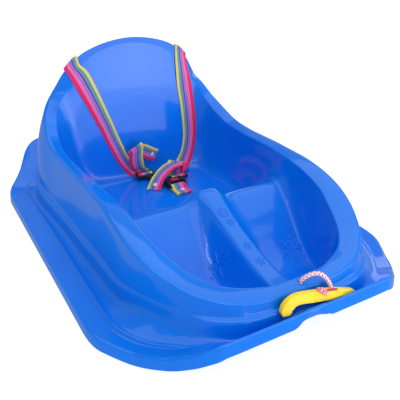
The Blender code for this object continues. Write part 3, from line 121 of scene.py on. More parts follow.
RIM_OUT = [(0, 0, -.636, .117), (.06, .085, -.634, .118), (.10, .145, -.625, .120),
           (.15, .213, -.600, .126), (.20, .261, -.560, .136), (.24, .293, -.525, .146),
           (.28, .320, -.480, .159), (.32, .343, -.430, .175), (.36, .358, -.375, .192),
           (.40, .366, -.310, .209), (.44, .367, -.240, .222), (.48, .364, -.150, .230),
           (.52, .362, -.050, .230), (.56, .362, .050, .226), (.60, .363, .150, .222),
           (.64, .366, .240, .224), (.68, .367, .310, .238), (.72, .362, .375, .262),
           (.75, .350, .425, .290), (.78, .330, .462, .330), (.81, .302, .480, .365),
           (.84, .277, .470, .405), (.87, .252, .459, .445), (.90, .215, .452, .483),
           (.93, .170, .4495, .512), (.96, .105, .449, .534), (1, 0, .449, .547)]
RIM_IN = [(0, 0, -.600, .126), (.06, .075, -.596, .126), (.10, .125, -.580, .128),
          (.15, .180, -.552, .131), (.20, .222, -.512, .139), (.24, .246, -.475, .148),
          (.28, .264, -.435, .160), (.32, .280, -.390, .174), (.36, .294, -.345, .190),
          (.40, .302, -.290, .203), (.44, .307, -.225, .215), (.48, .311, -.145, .221),
          (.52, .315, -.050, .221), (.56, .319, .050, .216), (.60, .323, .150, .210),
          (.64, .326, .240, .210), (.68, .3255, .310, .222), (.72, .321, .365, .246),
          (.75, .311, .405, .280), (.78, .292, .433, .325), (.81, .266, .448, .362),
          (.84, .238, .451, .395), (.87, .213, .451, .425), (.90, .182, .4505, .457),
          (.93, .142, .450, .486), (.96, .088, .450, .507), (1, 0, .450, .520)]
WALL_BASE = [(0, 0, -.555), (.06, .068, -.552), (.10, .112, -.538), (.15, .163, -.512),
             (.20, .198, -.475), (.24, .219, -.440), (.28, .234, -.400),
             (.32, .246, -.355), (.36, .256, -.310), (.40, .262, -.260),
             (.44, .266, -.200), (.48, .268, -.130), (.52, .268, -.050),
             (.56, .268, .040), (.60, .266, .120), (.64, .262, .190),
             (.68, .255, .250), (.72, .245, .300), (.75, .232, .330),
             (.78, .215, .350), (.81, .192, .362), (.84, .168, .370),
             (.87, .145, .374), (.90, .115, .377), (.93, .085, .379),
             (.96, .050, .380), (1, 0, .380)]
# floor heights along y: in the foot wells, and on the rib between them
WELL = [(-.70, -.030), (-.42, -.030), (-.37, -.026), (-.32, -.006), (-.26, .046),
        (-.20, .104), (-.165, .132), (-.14, .139), (-.115, .131), (-.07, .094),
        (-.02, .046), (.03, .014), (.09, -.001), (.18, -.005), (.50, -.005)]
RIB = [(-.70, .066), (-.56, .066), (-.53, .067), (-.45, .076), (-.39, .090),
       (-.30, .117), (-.22, .147), (-.165, .168), (-.14, .173), (-.11, .161),
       (-.05, .084), (.03, .015), (.09, -.001), (.18, -.005), (.50, -.005)]
def hermite(table, u):
    """Smooth curve through the table's rows (parameter first)."""
    t = np.array(table, float)
    k, v = t[:, 0], t[:, 1:]
    h = np.diff(k)[:, None]
    d = np.diff(v, axis=0) / h
    m = np.zeros_like(v)
    m[1:-1] = (h[1:] * d[:-1] + h[:-1] * d[1:]) / (h[1:] + h[:-1])
    m[0], m[-1] = d[0], d[-1]
    if v.shape[1] == 3:                 # a ring crosses x = 0 squarely
        m[0, 1:] = 0
        m[-1, 1:] = 0
    lim = 3 * np.minimum(np.abs(d[:-1]), np.abs(d[1:]))
    m[1:-1] = np.where(d[:-1] * d[1:] <= 0, 0, np.clip(m[1:-1], -lim, lim))
    u = np.clip(u, k[0], k[-1])
    i = np.clip(np.searchsorted(k, u, side="right") - 1, 0, len(k) - 2)
    hh = (k[i + 1] - k[i])[:, None]
    s = ((u - k[i]) / (k[i + 1] - k[i]))[:, None]
    a, b, ma, mb = v[i], v[i + 1], m[i] * hh, m[i + 1] * hh
    return ((2*s**3 - 3*s**2 + 1) * a + (s**3 - 2*s**2 + s) * ma
            + (-2*s**3 + 3*s**2) * b + (s**3 - s**2) * mb)


def profile(table, v):
    v = np.asarray(v, float)
    return hermite(table, v.ravel())[:, 0].reshape(v.shape)


def smooth(t):
    t = np.clip(t, 0, 1)
    return t * t * (3 - 2 * t)


def mix(a, b, t):
    return a + (b - a) * t


def floor_z(x, y):
    """Height of the seat and foot well floor, in brim widths."""
    well, rib = profile(WELL, y), profile(RIB, y)
    flank = np.interp(y, [-.30, -.20, -.10], [.082, .072, .085])
    half = np.interp(y, [-.55, -.2], [.026, .023])
    t = np.clip((np.abs(x) - half) / flank, 0, 1)
    t = t * t * 1.14 / (t + .14)               # tight shoulder, wide foot
    return well + (rib - well) * (1 - t) ** 2.2


def outward(ring):
    """Unit normals of a ring in plan, pointing away from the seat."""
    t = np.gradient(ring[:, :2], axis=0)
    n = np.stack([t[:, 1], -t[:, 0]], -1)
    n /= np.linalg.norm(n, axis=1)[:, None] + 1e-12
    n[0], n[-1] = (0, -1), (0, 1)
    return n


def outlines(u):
    d = {k: hermite(t, u) for k, t in dict(lip=LIP, bead=BEAD, crease=CREASE,
         ledge=LEDGE, ro=RIM_OUT, ri=RIM_IN, base=WALL_BASE).items()}
    d["arch"] = np.where(u < .12, 1 - smooth((np.abs(d["lip"][:, 0]) - .014) / .048), 0)
    d["lip"][:, 2] += .004 * d["arch"]
    return d


# inner wall section: share of the way in plan, share of the way down
WALL_SECTION = [(.03, .03), (.09, .12), (.17, .26), (.26, .42), (.36, .58),
                (.47, .72), (.60, .84), (.74, .93), (.88, .98), (1, 1)]
# steps from the wall foot to the middle line
SPINE_STEPS = [.035, .07, .105] + [.14 + .0358333 * k for k in range(25)]


def top_rings(u, o):
    """Rings of the upper surface from the skirt's bottom edge to the spine."""
    lip, bead, crease, ledge = o["lip"], o["bead"], o["crease"], o["ledge"]
    ro, ri, base = o["ro"], o["ri"], o["base"]
    n = outward(lip)
    ramp = lambda a, b: smooth((u - a) / (b - a))
    # skirt: the rolled edge under the lip, with an arch in its front middle
    h = np.interp(u, [0, .15, .16, .19, .22, .30, .72, .85, 1],
                  [.040, .040, .044, .040, .034, .032, .032, .034, .034])
    arch = o["arch"]
    h = h * (1 - arch) + .010 * arch

    def off(p, d, dz):
        q = p.copy()
        q[:, :2] += n * (d[:, None] if isinstance(d, np.ndarray) else d)
        q[:, 2] += dz
        return q
    front = 1 - ramp(.16, .24)
    skirt = off(lip, .005, -h)
    lip_o = off(lip, .002, -.003)
    lip_i = off(lip, -.0045, 0)
    foot = off(lip, -.0095, 0)
    foot[:, 2] = lip[:, 2] * (1 - front) + (.042 + .013 * arch) * front
    amp = (ramp(.19, .25) * (1 - ramp(.74, .82)))
    bead_0 = mix(foot, bead, .90)
    bead_0[:, 2] -= .002 * amp
    bead_0[:, 2] += .002 * arch
    bead_1 = bead.copy()
    bead_1[:, 2] += .013 * arch
    bead_1[:, 2] += .006 * amp
    d = crease - bead
    ln = np.linalg.norm(d[:, :2], axis=1)[:, None]
    bead_2 = bead + d * np.minimum(.013 / np.maximum(ln, 1e-6), .4)
    bead_2[:, 2] += .013 * arch
    # bay: the front wall steps back behind the tow handle
    bay = (1 - smooth((u - .058) / .008))[:, None]

    def step(p, y, z):
        q = p.copy()
        q[:, 1], q[:, 2] = y, z
        return p * (1 - bay) + q * bay
    crease_b = step(crease, -.640, .040 + .013 * arch)
    ledge_b = step(ledge, -.639, .070)
    # ledge: a narrow shelf, then the outer wall up to the rim
    nl = outward(ledge)
    room = np.sum((ledge - ro)[:, :2] * nl, axis=1)
    shelf = ledge.copy()
    shelf[:, :2] -= nl * np.clip(room * .6, .003, .012)[:, None]
    shelf[:, 2] += .003
    bulge = (ramp(.64, .78) * (1 - ramp(.86, .99)))[:, None]
    wall_1, wall_2 = mix(shelf, ro, .33), mix(shelf, ro, .68)
    wall_1[:, :2] += nl * .016 * bulge
    wall_2[:, :2] += nl * .016 * bulge
    shelf_b = step(shelf, -.6385, .082)
    wall_1 = mix(wall_1, step(wall_1, -.6375, .095), bay)
    rim_m = mix(ro, ri, .5)
    rim_m[:, 2] += .002
    rings = [skirt, lip_o, lip_i, foot, bead_0, bead_1, bead_2, crease_b,
             ledge_b, shelf_b, wall_1, wall_2, ro, rim_m, ri]
    fz = floor_z(base[:, 0], base[:, 1])
    for a, b in WALL_SECTION:
        p = np.empty_like(ri)
        p[:, :2] = mix(ri[:, :2], base, a)
        p[:, 2] = mix(ri[:, 2], fz, b)
        rings.append(p)
    spine = .65 * (base[:, 1] * .979 - .002) + .35 * (-.545 + .915 * u)
    for t in SPINE_STEPS:
        xy = base.copy()
        xy[:, 0] *= 1 - t
        xy[:, 1] = mix(base[:, 1], spine, t)
        if t == 1.0:
            xy[:, 0] = 0
        rings.append(np.column_stack([xy, floor_z(xy[:, 0], xy[:, 1])]))
    return rings


def unit(v):
    return v / (np.linalg.norm(v, axis=-1, keepdims=True) + 1e-12)


def section_normals(rings):
    """Mitred offset directions of a stack of rings (length 1 / cos)."""
    g = np.array(rings)                          # ring, station, xyz
    along = np.gradient(g, axis=1)
    along[:, 0] = (1, 0, 0)
    along[:, -1] = (-1, 0, 0)
    seg = unit(np.diff(g, axis=0))
    n = unit(np.cross(seg, .5 * (along[:-1] + along[1:])))
    a = np.concatenate([n[:1], n])
    b = np.concatenate([n, n[-1:]])
    s = a + b
    return s / np.maximum(1 + np.sum(a * b, axis=-1, keepdims=True), .6)


def under_rings(u, o, top):
    """Rings of the lower surface, a wall thickness below the upper one."""
    skirt, foot, bead = top[0], top[3], o["bead"].copy()
    bead[:, 2] += .013 * o["arch"]
    core = [foot, bead] + top[7:]
    g = section_normals(core)
    if g[3, len(u) // 2, 2] < 0:
        g = -g
    n = outward(o["lip"])
    off = [c - WALL * d for c, d in zip(core, g)]
    u0 = skirt.copy()
    u0[:, :2] -= n * WALL
    u1 = o["lip"].copy()
    u1[:, :2] -= n * .0042
    u1[:, 2] = foot[:, 2] - WALL
    # hollow under the rim: its roof runs lower where the two walls close up
    ro, ri = o["ro"], o["ri"]
    roof = np.minimum(ro[:, 2], ri[:, 2]) - np.interp(
        u, [0, .60, .75, .86, 1], [.0085, .009, .020, .040, .050])
    no = outward(ro)

    def on_wall(ring_list, z):
        """Point of a wall, given as rings from bottom to top, at height z."""
        g = np.array(ring_list)
        out = np.empty((g.shape[1], 2))
        for j in range(g.shape[1]):
            out[j] = [np.interp(z[j], g[:, j, 2], g[:, j, k]) for k in (0, 1)]
        return out
    a = on_wall([top[9], top[10], top[11], top[12]], roof) - no * WALL
    b = on_wall([top[18], top[17], top[16], top[15], top[14]], roof) + no * WALL
    # keep a slit between them
    sep = np.sum((a - b) * no, axis=1)
    push = np.maximum(0, .004 - sep)[:, None] / 2
    a, b = a + no * push, b - no * push
    out_top = np.column_stack([a, roof])
    in_top = np.column_stack([b, roof])
    # core order: foot bead crease ledge shelf wall1 wall2 ro mid ri w1..w10 floor..
    rings = [u0, u1] + off[1:7] + [out_top, in_top] + off[13:]
    # the outer wall's points stay below the hollow's roof
    for k in (6, 7):
        low = rings[k][:, 2] > roof - .004 * (8 - k)
        rings[k][low, 2] = (roof - .004 * (8 - k))[low]
    for k in range(10, 14):
        cap = roof - .004 * (k - 9)
        low = rings[k][:, 2] > cap
        rings[k][low, 2] = cap[low]
    return rings


def metres(p):
    """Ring coordinates to metres in the part's own frame."""
    p = np.asarray(p, float)
    return np.stack([p[..., 0] * W, (p[..., 1] + YC) * W,
                     (p[..., 2] + GROUND) * W], -1)


def loop(half):
    """Full closed ring from a right half: front middle, right, rear, left."""
    left = half[1:-1][::-1] * np.array([-1, 1, 1])
    return np.concatenate([half, left])


def P(x, y, z):
    """One point from ring coordinates (brim widths) to metres."""
    return np.array([x * W, (y + YC) * W, (z + GROUND) * W])


def frame(axis):
    a = Vector(axis).normalized()
    s = a.orthogonal().normalized()
    return s, a.cross(s).normalized(), a


def spline(points, step):
    """Points every step or so along a smooth curve through route points."""
    p = np.array(points, float)
    q = np.vstack([2 * p[0] - p[1], p, 2 * p[-1] - p[-2]])
    out = []
    for i in range(1, len(q) - 2):
        a, b, c, d = q[i - 1], q[i], q[i + 1], q[i + 2]
        n = max(1, int(round(np.linalg.norm(c - b) / step)))
        for k in range(n):
            t = k / n
            out.append(.5 * (2*b + (c - a) * t + (2*a - 5*b + 4*c - d) * t**2
                             + (3*b - a - 3*c + d) * t**3))
    out.append(p[-1])
    return np.array(out)


def section(a, b, m=None):
    """One webbing section from its two edge points, in metres."""
    a, b = np.array(a, float), np.array(b, float)
    return np.array([a, (a + b) / 2 if m is None else m, b])


def mm(*p):
    return np.array(p, float) / 1000


def at_station(secs, back):
    """Point and normal on the middle line, the given distance before the end."""
    g = np.array(secs)
    c = g[:, 1]
    s = np.concatenate([[0], np.cumsum(np.linalg.norm(np.diff(c, axis=0), axis=1))])
    d = s[-1] - back
    i = min(int(np.searchsorted(s, d)) - 1, len(c) - 2)
    f = (d - s[i]) / (s[i + 1] - s[i])
    p = c[i] + f * (c[i + 1] - c[i])
    w = unit(g[i, 2] - g[i, 0])
    n = unit(np.cross(unit(c[i + 1] - c[i]), w))
    return p, n


# Ladder lock, in its own frame: y to the rear, w up, half width x.
LOCK_X, SLOT_X = 20.5, 16.6                 # mm
BAR = [-8.3, -5.1, -1.5, 1.5, 5.1, 8.1]     # edges of the three cross bars
PLATE = 4.0                                 # thickness of lock and prong
LOCK_R = (64.5, 155.2, 29.2)                # middle of the right lock
LOCK_L = (4.0, 193.0, 33.0)
TILT_L = 15.0                               # left lock leans up the backrest foot
BEND_L = 178.8                              # where its neck starts to rise
# way of the webbing through a lock: strap in below, over the middle bar, tail out
IN_LOCK = [(9, -5.1), (5, -5.1), (2, -5.1), (-1.2, -4.8), (-2.9, -3.5), (-3.3, -1),
           (-3.3, 1), (-2.9, 2.75), (-1.3, 3.25), (0, 3.3), (1.3, 3.25), (2.9, 2.75),
           (3.3, 1), (3.3, -1), (3.85, -2.7), (5.4, -3.2), (8.6, -3.2)]
SOCK_X = 44.5                               # middle of the buckle socket
SOCK_Y = (118.0, 146.3)
SOCK_Z = (25.2, 36.8)
PRONG = 10.4                                # prongs either side of the middle
PRONG_W, PRONG_L = 13.0, 15.6
RELEASE = 0.018                             # travel of the socket off the tongues
PRESS = 0.002                               # travel of the release button
def lock_point(c, tilt, y, w, x):
    a = math.radians(tilt)
    return mm(c[0] + x, c[1] + y * math.cos(a) - w * math.sin(a),
              c[2] + y * math.sin(a) + w * math.cos(a))


def lay(tree, x, z, side, off=.0013):
    """Point over the shell at ring coordinates (x, z), on the seat side (-1)
    or behind the backrest (+1), lifted off by off."""
    o = Vector(P(x, .20 if side < 0 else .62, z))
    hit, n, _, _ = tree.ray_cast(o, Vector((0, -side, 0)))
    return np.array(hit + n.normalized() * off)


def rim_edge(x):
    """Outer rim edge of the backrest at a given x: (y, z)."""
    u = np.linspace(.82, 1, 200)
    r = hermite(RIM_OUT, u)
    o = np.argsort(r[:, 0])
    return (np.interp(abs(x), r[o, 0], r[o, 1]), np.interp(abs(x), r[o, 0], r[o, 2]))


def over_rim(tree, side):
    """Sections from the riveted end behind the backrest to the seat side."""
    out = []

    def row(shift, s, way, off=.0013):
        pts = []
        for ax in (.247, .222, .197):
            x = side * (ax - shift)
            z = rim_edge(x)[1] - s
            pts.append(lay(tree, x, z, way, off))
        return np.array(pts)
    for shift, s in ((.050, .145), (.046, .120), (.041, .098), (.035, .080), (.026, .058), (.017, .036), (.009, .016)):
        out.append(row(shift, s, 1))
    out.append(row(.003, .007, 1, .0018))
    for dy, up in ((.0019, .0004), (.0011, .0018), (-.0003, .0023), (-.0016, .0016)):
        top = []
        for ax in (.247, .222, .197):
            y, z = rim_edge(ax)
            top.append(P(side * ax, y, z) + (side * .514 * up, dy, .857 * up))
        out.append(np.array(top))
    out.append(row(.001, .006, -1, .0018))
    return out


def strap_right(tree):
    """Outer edge first; ends with the loose tail laid over the buckle."""
    s = over_rim(tree, 1)
    front = [((.246, .446), (.197, .472)), ((.249, .425), (.196, .450)),
             ((.254, .395), (.1955, .418)), ((.258, .378), (.196, .397)),
             ((.261, .360), (.196, .375)),
             ((.266, .318), (.199, .325)), ((.2695, .262), (.207, .264)),
             ((.271, .210), (.2105, .210)), ((.2685, .160), (.2120, .160)),
             ((.262, .118), (.209, .119)), ((.252, .078), (.198, .080)),
             ((.238, .042), (.183, .052))]
    for (ax, az), (bx, bz) in front:
        off = .0023 if .35 < az < .44 else .0015
        s.append(section(lay(tree, ax, az, -1, off), lay(tree, bx, bz, -1, off),
                         lay(tree, (ax + bx) / 2, (az + bz) / 2, -1, off)))
    for c, w in (((102.5, 204.5, 36.5), (28.7, -10.4, -8.2)),
                 ((91.0, 194.5, 29.6), (29.2, -12.2, -4.0)),
                 ((80.0, 186.0, 26.2), (30.2, -10.6, -1.0)),
                 ((71.0, 178.5, 24.6), (31.2, -7.0, 0)),
                 ((66.2, 171.5, 24.1), (31.9, -2.5, 0))):
        c, w = mm(*c), mm(*w)
        s.append(section(c + w / 2, c - w / 2))
    for y, w in IN_LOCK:
        s.append(section(lock_point(LOCK_R, 0, y, w, 16),
                         lock_point(LOCK_R, 0, y, w, -16)))
    for c, w in (((64.9, 166.6, 26.9), (31.9, -1.5, 0)),
                 ((65.6, 168.6, 30.0), (31.7, -3.0, -.8)),
                 ((67.2, 171.0, 36.0), (31.2, -6.0, -2.6)),
                 ((69.6, 173.8, 43.0), (31.0, -7.0, -4.0))):
        c, w = mm(*c), mm(*w)
        s.append(section(c + w / 2, c - w / 2))
    a, b = mm(91.7, 166.4, 50.4), mm(57.0, 187.0, 56.0)       # fold line
    a2, b2 = mm(46.5, 153.5, 46.0), mm(23.0, 171.9, 46.0)
    s += fold(s[-1], a, b, a2, b2)
    s += [section(mm(68.5, 159.6, 49.9), mm(40.0, 179.6, 51.6)),
          section(a2, b2),
          section(mm(35.5, 146.6, 43.8), mm(13.5, 165.6, 43.0)),
          section(mm(25.5, 140.0, 39.6), mm(3.5, 159.0, 38.2)),
          section(mm(16.0, 133.6, 31.4), mm(-6.2, 152.4, 30.2)),
          section(mm(10.6, 129.4, 25.0), mm(-11.8, 147.8, 24.8)),
          section(mm(7.6, 126.9, 22.9), mm(-15.0, 145.4, 22.9))]
    return s


def fold(last, a, b, a2, b2):
    """Three sections of a flat fold along line a-b, on to the layer a2-b2."""
    c = (a + b) / 2
    d_in = unit(c - np.array(last)[1])
    d_out = unit((a2 + b2) / 2 - c)
    e = unit(d_in - d_out)                       # points past the fold line
    k = unit(b - a)
    e = unit(e - k * np.dot(e, k))
    n = unit(np.cross(e, k))
    # the outgoing layer lies on the side that faces the front of the sled
    if n[1] > 0:
        n = -n
    t = .00145
    return [section(a - e * .0016 - n * t, b - e * .0016 - n * t),
            section(a + e * .0002 - n * t * .7, b + e * .0002 - n * t * .7),
            section(a + e * .0010, b + e * .0010),
            section(a + e * .0002 + n * t * .7, b + e * .0002 + n * t * .7),
            section(a - e * .0016 + n * t, b - e * .0016 + n * t)]


def strap_left(tree):
    s = over_rim(tree, -1)
    front = [((-.241, .444), (-.192, .470)), ((-.2275, .413), (-.171, .447)),
             ((-.201, .352), (-.143, .386)), ((-.180, .303), (-.123, .330)),
             ((-.161, .256), (-.104, .274)), ((-.143, .212), (-.088, .226)),
             ((-.127, .167), (-.074, .181)), ((-.108, .118), (-.057, .131)),
             ((-.088, .071), (-.038, .081)), ((-.068, .037), (-.016, .052)),
             ((-.049, .014), (.008, .030)), ((-.036, .005), (.024, .013))]
    for (ax, az), (bx, bz) in front:
        off = .0021 if .35 < az < .44 else .0014
        s.append(section(lay(tree, ax, az, -1, off), lay(tree, bx, bz, -1, off),
                         lay(tree, (ax + bx) / 2, (az + bz) / 2, -1, off)))
    for c, w in (((2.6, 204.4, 26.4), (-32, -.6, -.8)), ((4.0, 201.4, 26.9), (-32, 0, 0)),
                 ((4.0, 199.2, 27.7), (-32, 0, 0))):
        c, w = mm(*c), mm(*w)
        s.append(section(c + w / 2, c - w / 2))
    for y, w in IN_LOCK[2:]:
        s.append(section(lock_point(LOCK_L, TILT_L, y, w, -16),
                         lock_point(LOCK_L, TILT_L, y, w, 16)))
    for c, w in (((3.2, 204.6, 33.9), (-32, .4, 0)),
                 ((1.4, 205.6, 37.0), (-31.8, 1.0, 1.2)),
                 ((-3.6, 204.2, 42.4), (-31.8, .8, 3.0)),
                 ((-8.6, 201.0, 49.0), (-32, 0, 3.8)),
                 ((-11.4, 198.8, 60.0), (-32, 0, 2.4)),
                 ((-12.8, 198.0, 72.0), (-32, 0, .6))):
        c, w = mm(*c), mm(*w)
        s.append(section(c + w / 2, c - w / 2))
    a, b = mm(-29.0, 198.6, 87.5), mm(2.4, 198.6, 104.2)      # fold line
    a2, b2 = mm(18.8, 203.8, 59.4), mm(32.0, 203.8, 84.9)
    s += fold_back(s[-1], a, b, a2, b2)
    s += [section(mm(-6.0, 202.2, 74.0), mm(16.0, 202.2, 95.4)),
          section(a2, b2),
          section(mm(30.2, 205.2, 52.8), mm(43.4, 205.2, 78.2))]
    return s


def fold_back(last, a, b, a2, b2):
    """The same fold with the outgoing layer behind the incoming one."""
    out = fold(last, a, b, a2, b2)
    return out[::-1]


def crotch_loop():
    """Webbing round the socket's front bar, riveted to itself; from below."""
    way = [(88.6, 24.2), (96, 24.2), (104, 24.2), (111, 24.5), (115.5, 25.7),
           (118.5, 26.35), (121.3, 26.35), (122.5, 26.9), (122.9, 28.2), (122.9, 30.8),
           (122.5, 32.1), (121.3, 32.65), (118.5, 32.65), (115.6, 31.9), (113, 30.4),
           (110.9, 28.5), (109, 27.0), (106.8, 26.2), (103, 26.1), (96, 26.1), (88.0, 26.1)]
    return [section(mm(SOCK_X + 16, y, z), mm(SOCK_X - 16, y, z)) for y, z in way]


def prong_cells(prong_x, y1):
    """Plan polygons of a prong with its latch window and lead-in; y1 = root."""
    y0, h = y1 - PRONG_L, PRONG_W / 2
    xs = [prong_x - h, prong_x - 2.6, prong_x + 2.6, prong_x + h]
    ys = [y0, y0 + 4.0, y0 + 8.0, y1]
    cells = []
    for j in range(3):
        for i in range(3):
            if (i, j) == (1, 1):
                continue
            c = [(xs[i], ys[j]), (xs[i + 1], ys[j]), (xs[i + 1], ys[j + 1]),
                 (xs[i], ys[j + 1])]
            if j == 0 and i == 0:
                c = [(xs[0] + 1.5, y0), c[1], c[2], c[3], (xs[0], y0 + 2.0)]
            if j == 0 and i == 2:
                c = [c[0], (xs[3] - 1.5, y0), (xs[3], y0 + 2.0), c[2], c[3]]
            cells.append(c)
    return cells, xs


def lock_cells(cx, cy, front):
    """Plan polygons of a ladder lock; front = x stations on its front edge."""
    X = [cx - LOCK_X, cx - SLOT_X, cx + SLOT_X, cx + LOCK_X]
    Y = [cy + b for b in BAR]
    cells = []
    r = 2.2
    stations = sorted(set([X[1], X[2]] + [f for f in front if X[1] < f < X[2]]))
    for j in range(5):
        lo, hi = Y[j], Y[j + 1]
        first, last = j == 0, j == 4
        left = [(X[0], lo), (X[1], lo), (X[1], hi), (X[0], hi)]
        right = [(X[2], lo), (X[3], lo), (X[3], hi), (X[2], hi)]
        if first:
            left = [(X[0] + r, lo), (X[1], lo), (X[1], hi), (X[0], hi), (X[0], lo + r)]
            right = [(X[2], lo), (X[3] - r, lo), (X[3], lo + r), (X[3], hi), (X[2], hi)]
        if last:
            left = [(X[0], lo), (X[1], lo), (X[1], hi), (X[0] + r, hi), (X[0], hi - r)]
            right = [(X[2], lo), (X[3], lo), (X[3], hi - r), (X[3] - r, hi), (X[2], hi)]
        cells += [left, right]
        if j in (0, 2, 4):
            if j == 0:
                mid = [(s, lo) for s in stations] + [(X[2], hi), (X[1], hi)]
            else:
                mid = [(X[1], lo), (X[2], lo), (X[2], hi), (X[1], hi)]
            cells.append(mid)
    return cells


def rounded_plan(wr, wf, y0, y1, r, cx, seg=4, inset=0.0):
    """Rounded outline, width wr at the rear y1 and wf at the front y0."""
    pts = []
    corners = [(wf / 2, y0, 270), (wr / 2, y1, 0), (-wr / 2, y1, 90), (-wf / 2, y0, 180)]
    for x, y, a0 in corners:
        sx, sy = (1 if x > 0 else -1), (1 if y == y1 else -1)
        ox, oy = x - sx * r, y - sy * r
        for k in range(seg + 1):
            a = math.radians(a0 + 90 * k / seg)
            pts.append((cx + ox + (r - inset) * math.cos(a),
                        oy + (r - inset) * math.sin(a)))
    return pts


def block(bm, rings):
    """Solid from stacked outlines [(plan, z), ...], in millimetres."""
    rows = [[bm.verts.new(mm(x, y, z)) for x, y in plan] for plan, z in rings]
    n = len(rows[0])
    for p, q in zip(rows, rows[1:]):
        for k in range(n):
            bm.faces.new([p[k], p[(k + 1) % n], q[(k + 1) % n], q[k]])
    bm.faces.new(rows[0][::-1])
    bm.faces.new(rows[-1])


HANDLE_Y = -.6612                           # middle plane of the handle
BAR_T, BAR_H = 11.2, 15.4                   # grip section, mm
# middle line (x, z) of the handle with thickness and height factors
HANDLE = [(-.0775, .0845, .78, .92), (-.0790, .0925, .92, 1.06), (-.0775, .1010, .97, 1.12),
          (-.0715, .1090, 1, 1.12), (-.0620, .1150, 1, 1.06), (-.0500, .1172, 1, 1.0),
          (-.0360, .1156, 1, .98), (-.0200, .1122, 1, .98), (0, .1070, 1, 1),
          (.0220, .1012, 1, 1), (.0440, .0962, 1, 1), (.0640, .0908, 1, 1),
          (.0820, .0850, .96, 1), (.0980, .0795, .88, .98), (.1120, .0745, .86, .95),
          (.1240, .0700, .86, .92), (.1350, .0650, .86, .92), (.1435, .0585, .86, .92),
          (.1465, .0530, .82, .88), (.1460, .0485, .70, .78)]
HOLE_X, HOLE_Y = .0745, -.6608              # rope hole through the grip
ROPE_OUT = [(0, -.616, .1195), (.0012, -.6160, .1280), (.0055, -.6178, .1370),
            (.0170, -.6225, .1450), (.0350, -.6300, .1490), (.0500, -.6370, .1440),
            (.0600, -.6435, .1345), (.0675, -.6510, .1230), (.0720, -.6570, .1140),
            (.0742, -.6602, .1060), (.0745, -.6608, .0960)]
ROPE_IN = [(0, -.616, .1185), (0, -.6155, .1080), (0, -.6130, .0850), (0, -.6020, .0500),
           (0, -.5800, .0120), (0, -.5450, -.0160), (0, -.4900, -.0335),
           (.002, -.4300, -.0390), (.012, -.3700, -.0393), (.035, -.3100, -.0393),
           (.055, -.2600, -.0393), (.0625, -.2200, -.0393), (.0623, -.1797, -.0393)]
COIL = (0.0, -.068, .0075)                  # middle of the wound-up rope, metres
COIL_R, COIL_W, COIL_H = .0331, .0128, .0120
def handle_line():
    t = np.array(HANDLE)
    pts = spline(np.column_stack([t[:, 0], t[:, 1], t[:, 2] * .1, t[:, 3] * .1]), .0085)
    return pts[:, 0], pts[:, 1], pts[:, 2] * 10, pts[:, 3] * 10


def handle_frame():
    """Points, up-directions and half sizes along the handle's middle line."""
    x, z, ft, fh = handle_line()
    c = np.array([P(a, HANDLE_Y, b) for a, b in zip(x, z)])
    t = unit(np.gradient(c, axis=0))
    up = np.column_stack([-t[:, 2], np.zeros(len(t)), t[:, 0]])
    return c, t, up, ft * BAR_T / 2000, fh * BAR_H / 2000


def squircle(k, n, e=2.7):
    a = 2 * math.pi * k / n
    c, s = math.cos(a), math.sin(a)
    return (math.copysign(abs(c) ** (2 / e), c), math.copysign(abs(s) ** (2 / e), s))


def on_handle(x, deg, off):
    """Point over the grip surface: deg 0 = front, 90 = top."""
    c, t, up, ht, hh = handle_frame()
    cx = x * W
    i = int(np.argmin(np.where(np.arange(len(c)) > 6, abs(c[:, 0] - cx), 9)))
    j = i + 1 if c[i, 0] < cx else i - 1
    f = (cx - c[i, 0]) / (c[j, 0] - c[i, 0])
    p, u = c[i] + f * (c[j] - c[i]), unit(up[i] + f * (up[j] - up[i]))
    a = math.radians(deg)
    cs, sn = math.cos(a), math.sin(a)
    r = (abs(cs / ht[i]) ** 2.7 + abs(sn / hh[i]) ** 2.7) ** (-1 / 2.7)
    d = np.array([0, -cs, 0]) + u * sn
    return p + d * (r + off)



# ---------------------------------------------------------------- materials
def new_mat(name, rgb, rough, metal=0.0):
    m = bpy.data.materials.new(name)
    m.use_nodes = True
    b = m.node_tree.nodes["Principled BSDF"]
    b.inputs["Base Color"].default_value = (*rgb, 1)
    b.inputs["Roughness"].default_value = rough
    b.inputs["Metallic"].default_value = metal
    m.diffuse_color = (*rgb, 1)
    return m, m.node_tree, b


def node(nt, kind, ins=None, **props):
    n = nt.nodes.new(kind)
    for k, v in props.items():
        setattr(n, k, v)
    for k, v in (ins or {}).items():
        s = n.inputs[k]
        if isinstance(v, bpy.types.NodeSocket):
            nt.links.new(v, s)
        else:
            s.default_value = v
    return n


def calc(nt, op, a, b=0.0, c=0.0):
    n = node(nt, "ShaderNodeMath", {0: a, 1: b, 2: c}, operation=op)
    return n.outputs[0]


def coords(nt, scale=(1, 1, 1), uv=False):
    t = nt.nodes.new("ShaderNodeTexCoord")
    m = node(nt, "ShaderNodeMapping", {"Vector": t.outputs["UV" if uv else "Object"], "Scale": scale})
    return m.outputs[0]


def noise_tex(nt, vec, scale, detail=2.0, rough=.5):
    n = node(nt, "ShaderNodeTexNoise", {"Vector": vec, "Scale": scale, "Detail": detail, "Roughness": rough})
    return n.outputs["Fac"]


def ramp(nt, fac, stops, interp="LINEAR"):
    n = node(nt, "ShaderNodeValToRGB", {"Fac": fac})
    r = n.color_ramp
    r.interpolation = interp
    while len(r.elements) < len(stops):
        r.elements.new(.5)
    for e, (p, c) in zip(r.elements, stops):
        e.position = p
        e.color = (*c, 1) if len(c) == 3 else c
    return n.outputs["Color"]


def spread(nt, fac, lo, hi, a=0.0, b=1.0):
    n = node(nt, "ShaderNodeMapRange", {"Value": fac, "From Min": a, "From Max": b, "To Min": lo, "To Max": hi})
    return n.outputs["Result"]


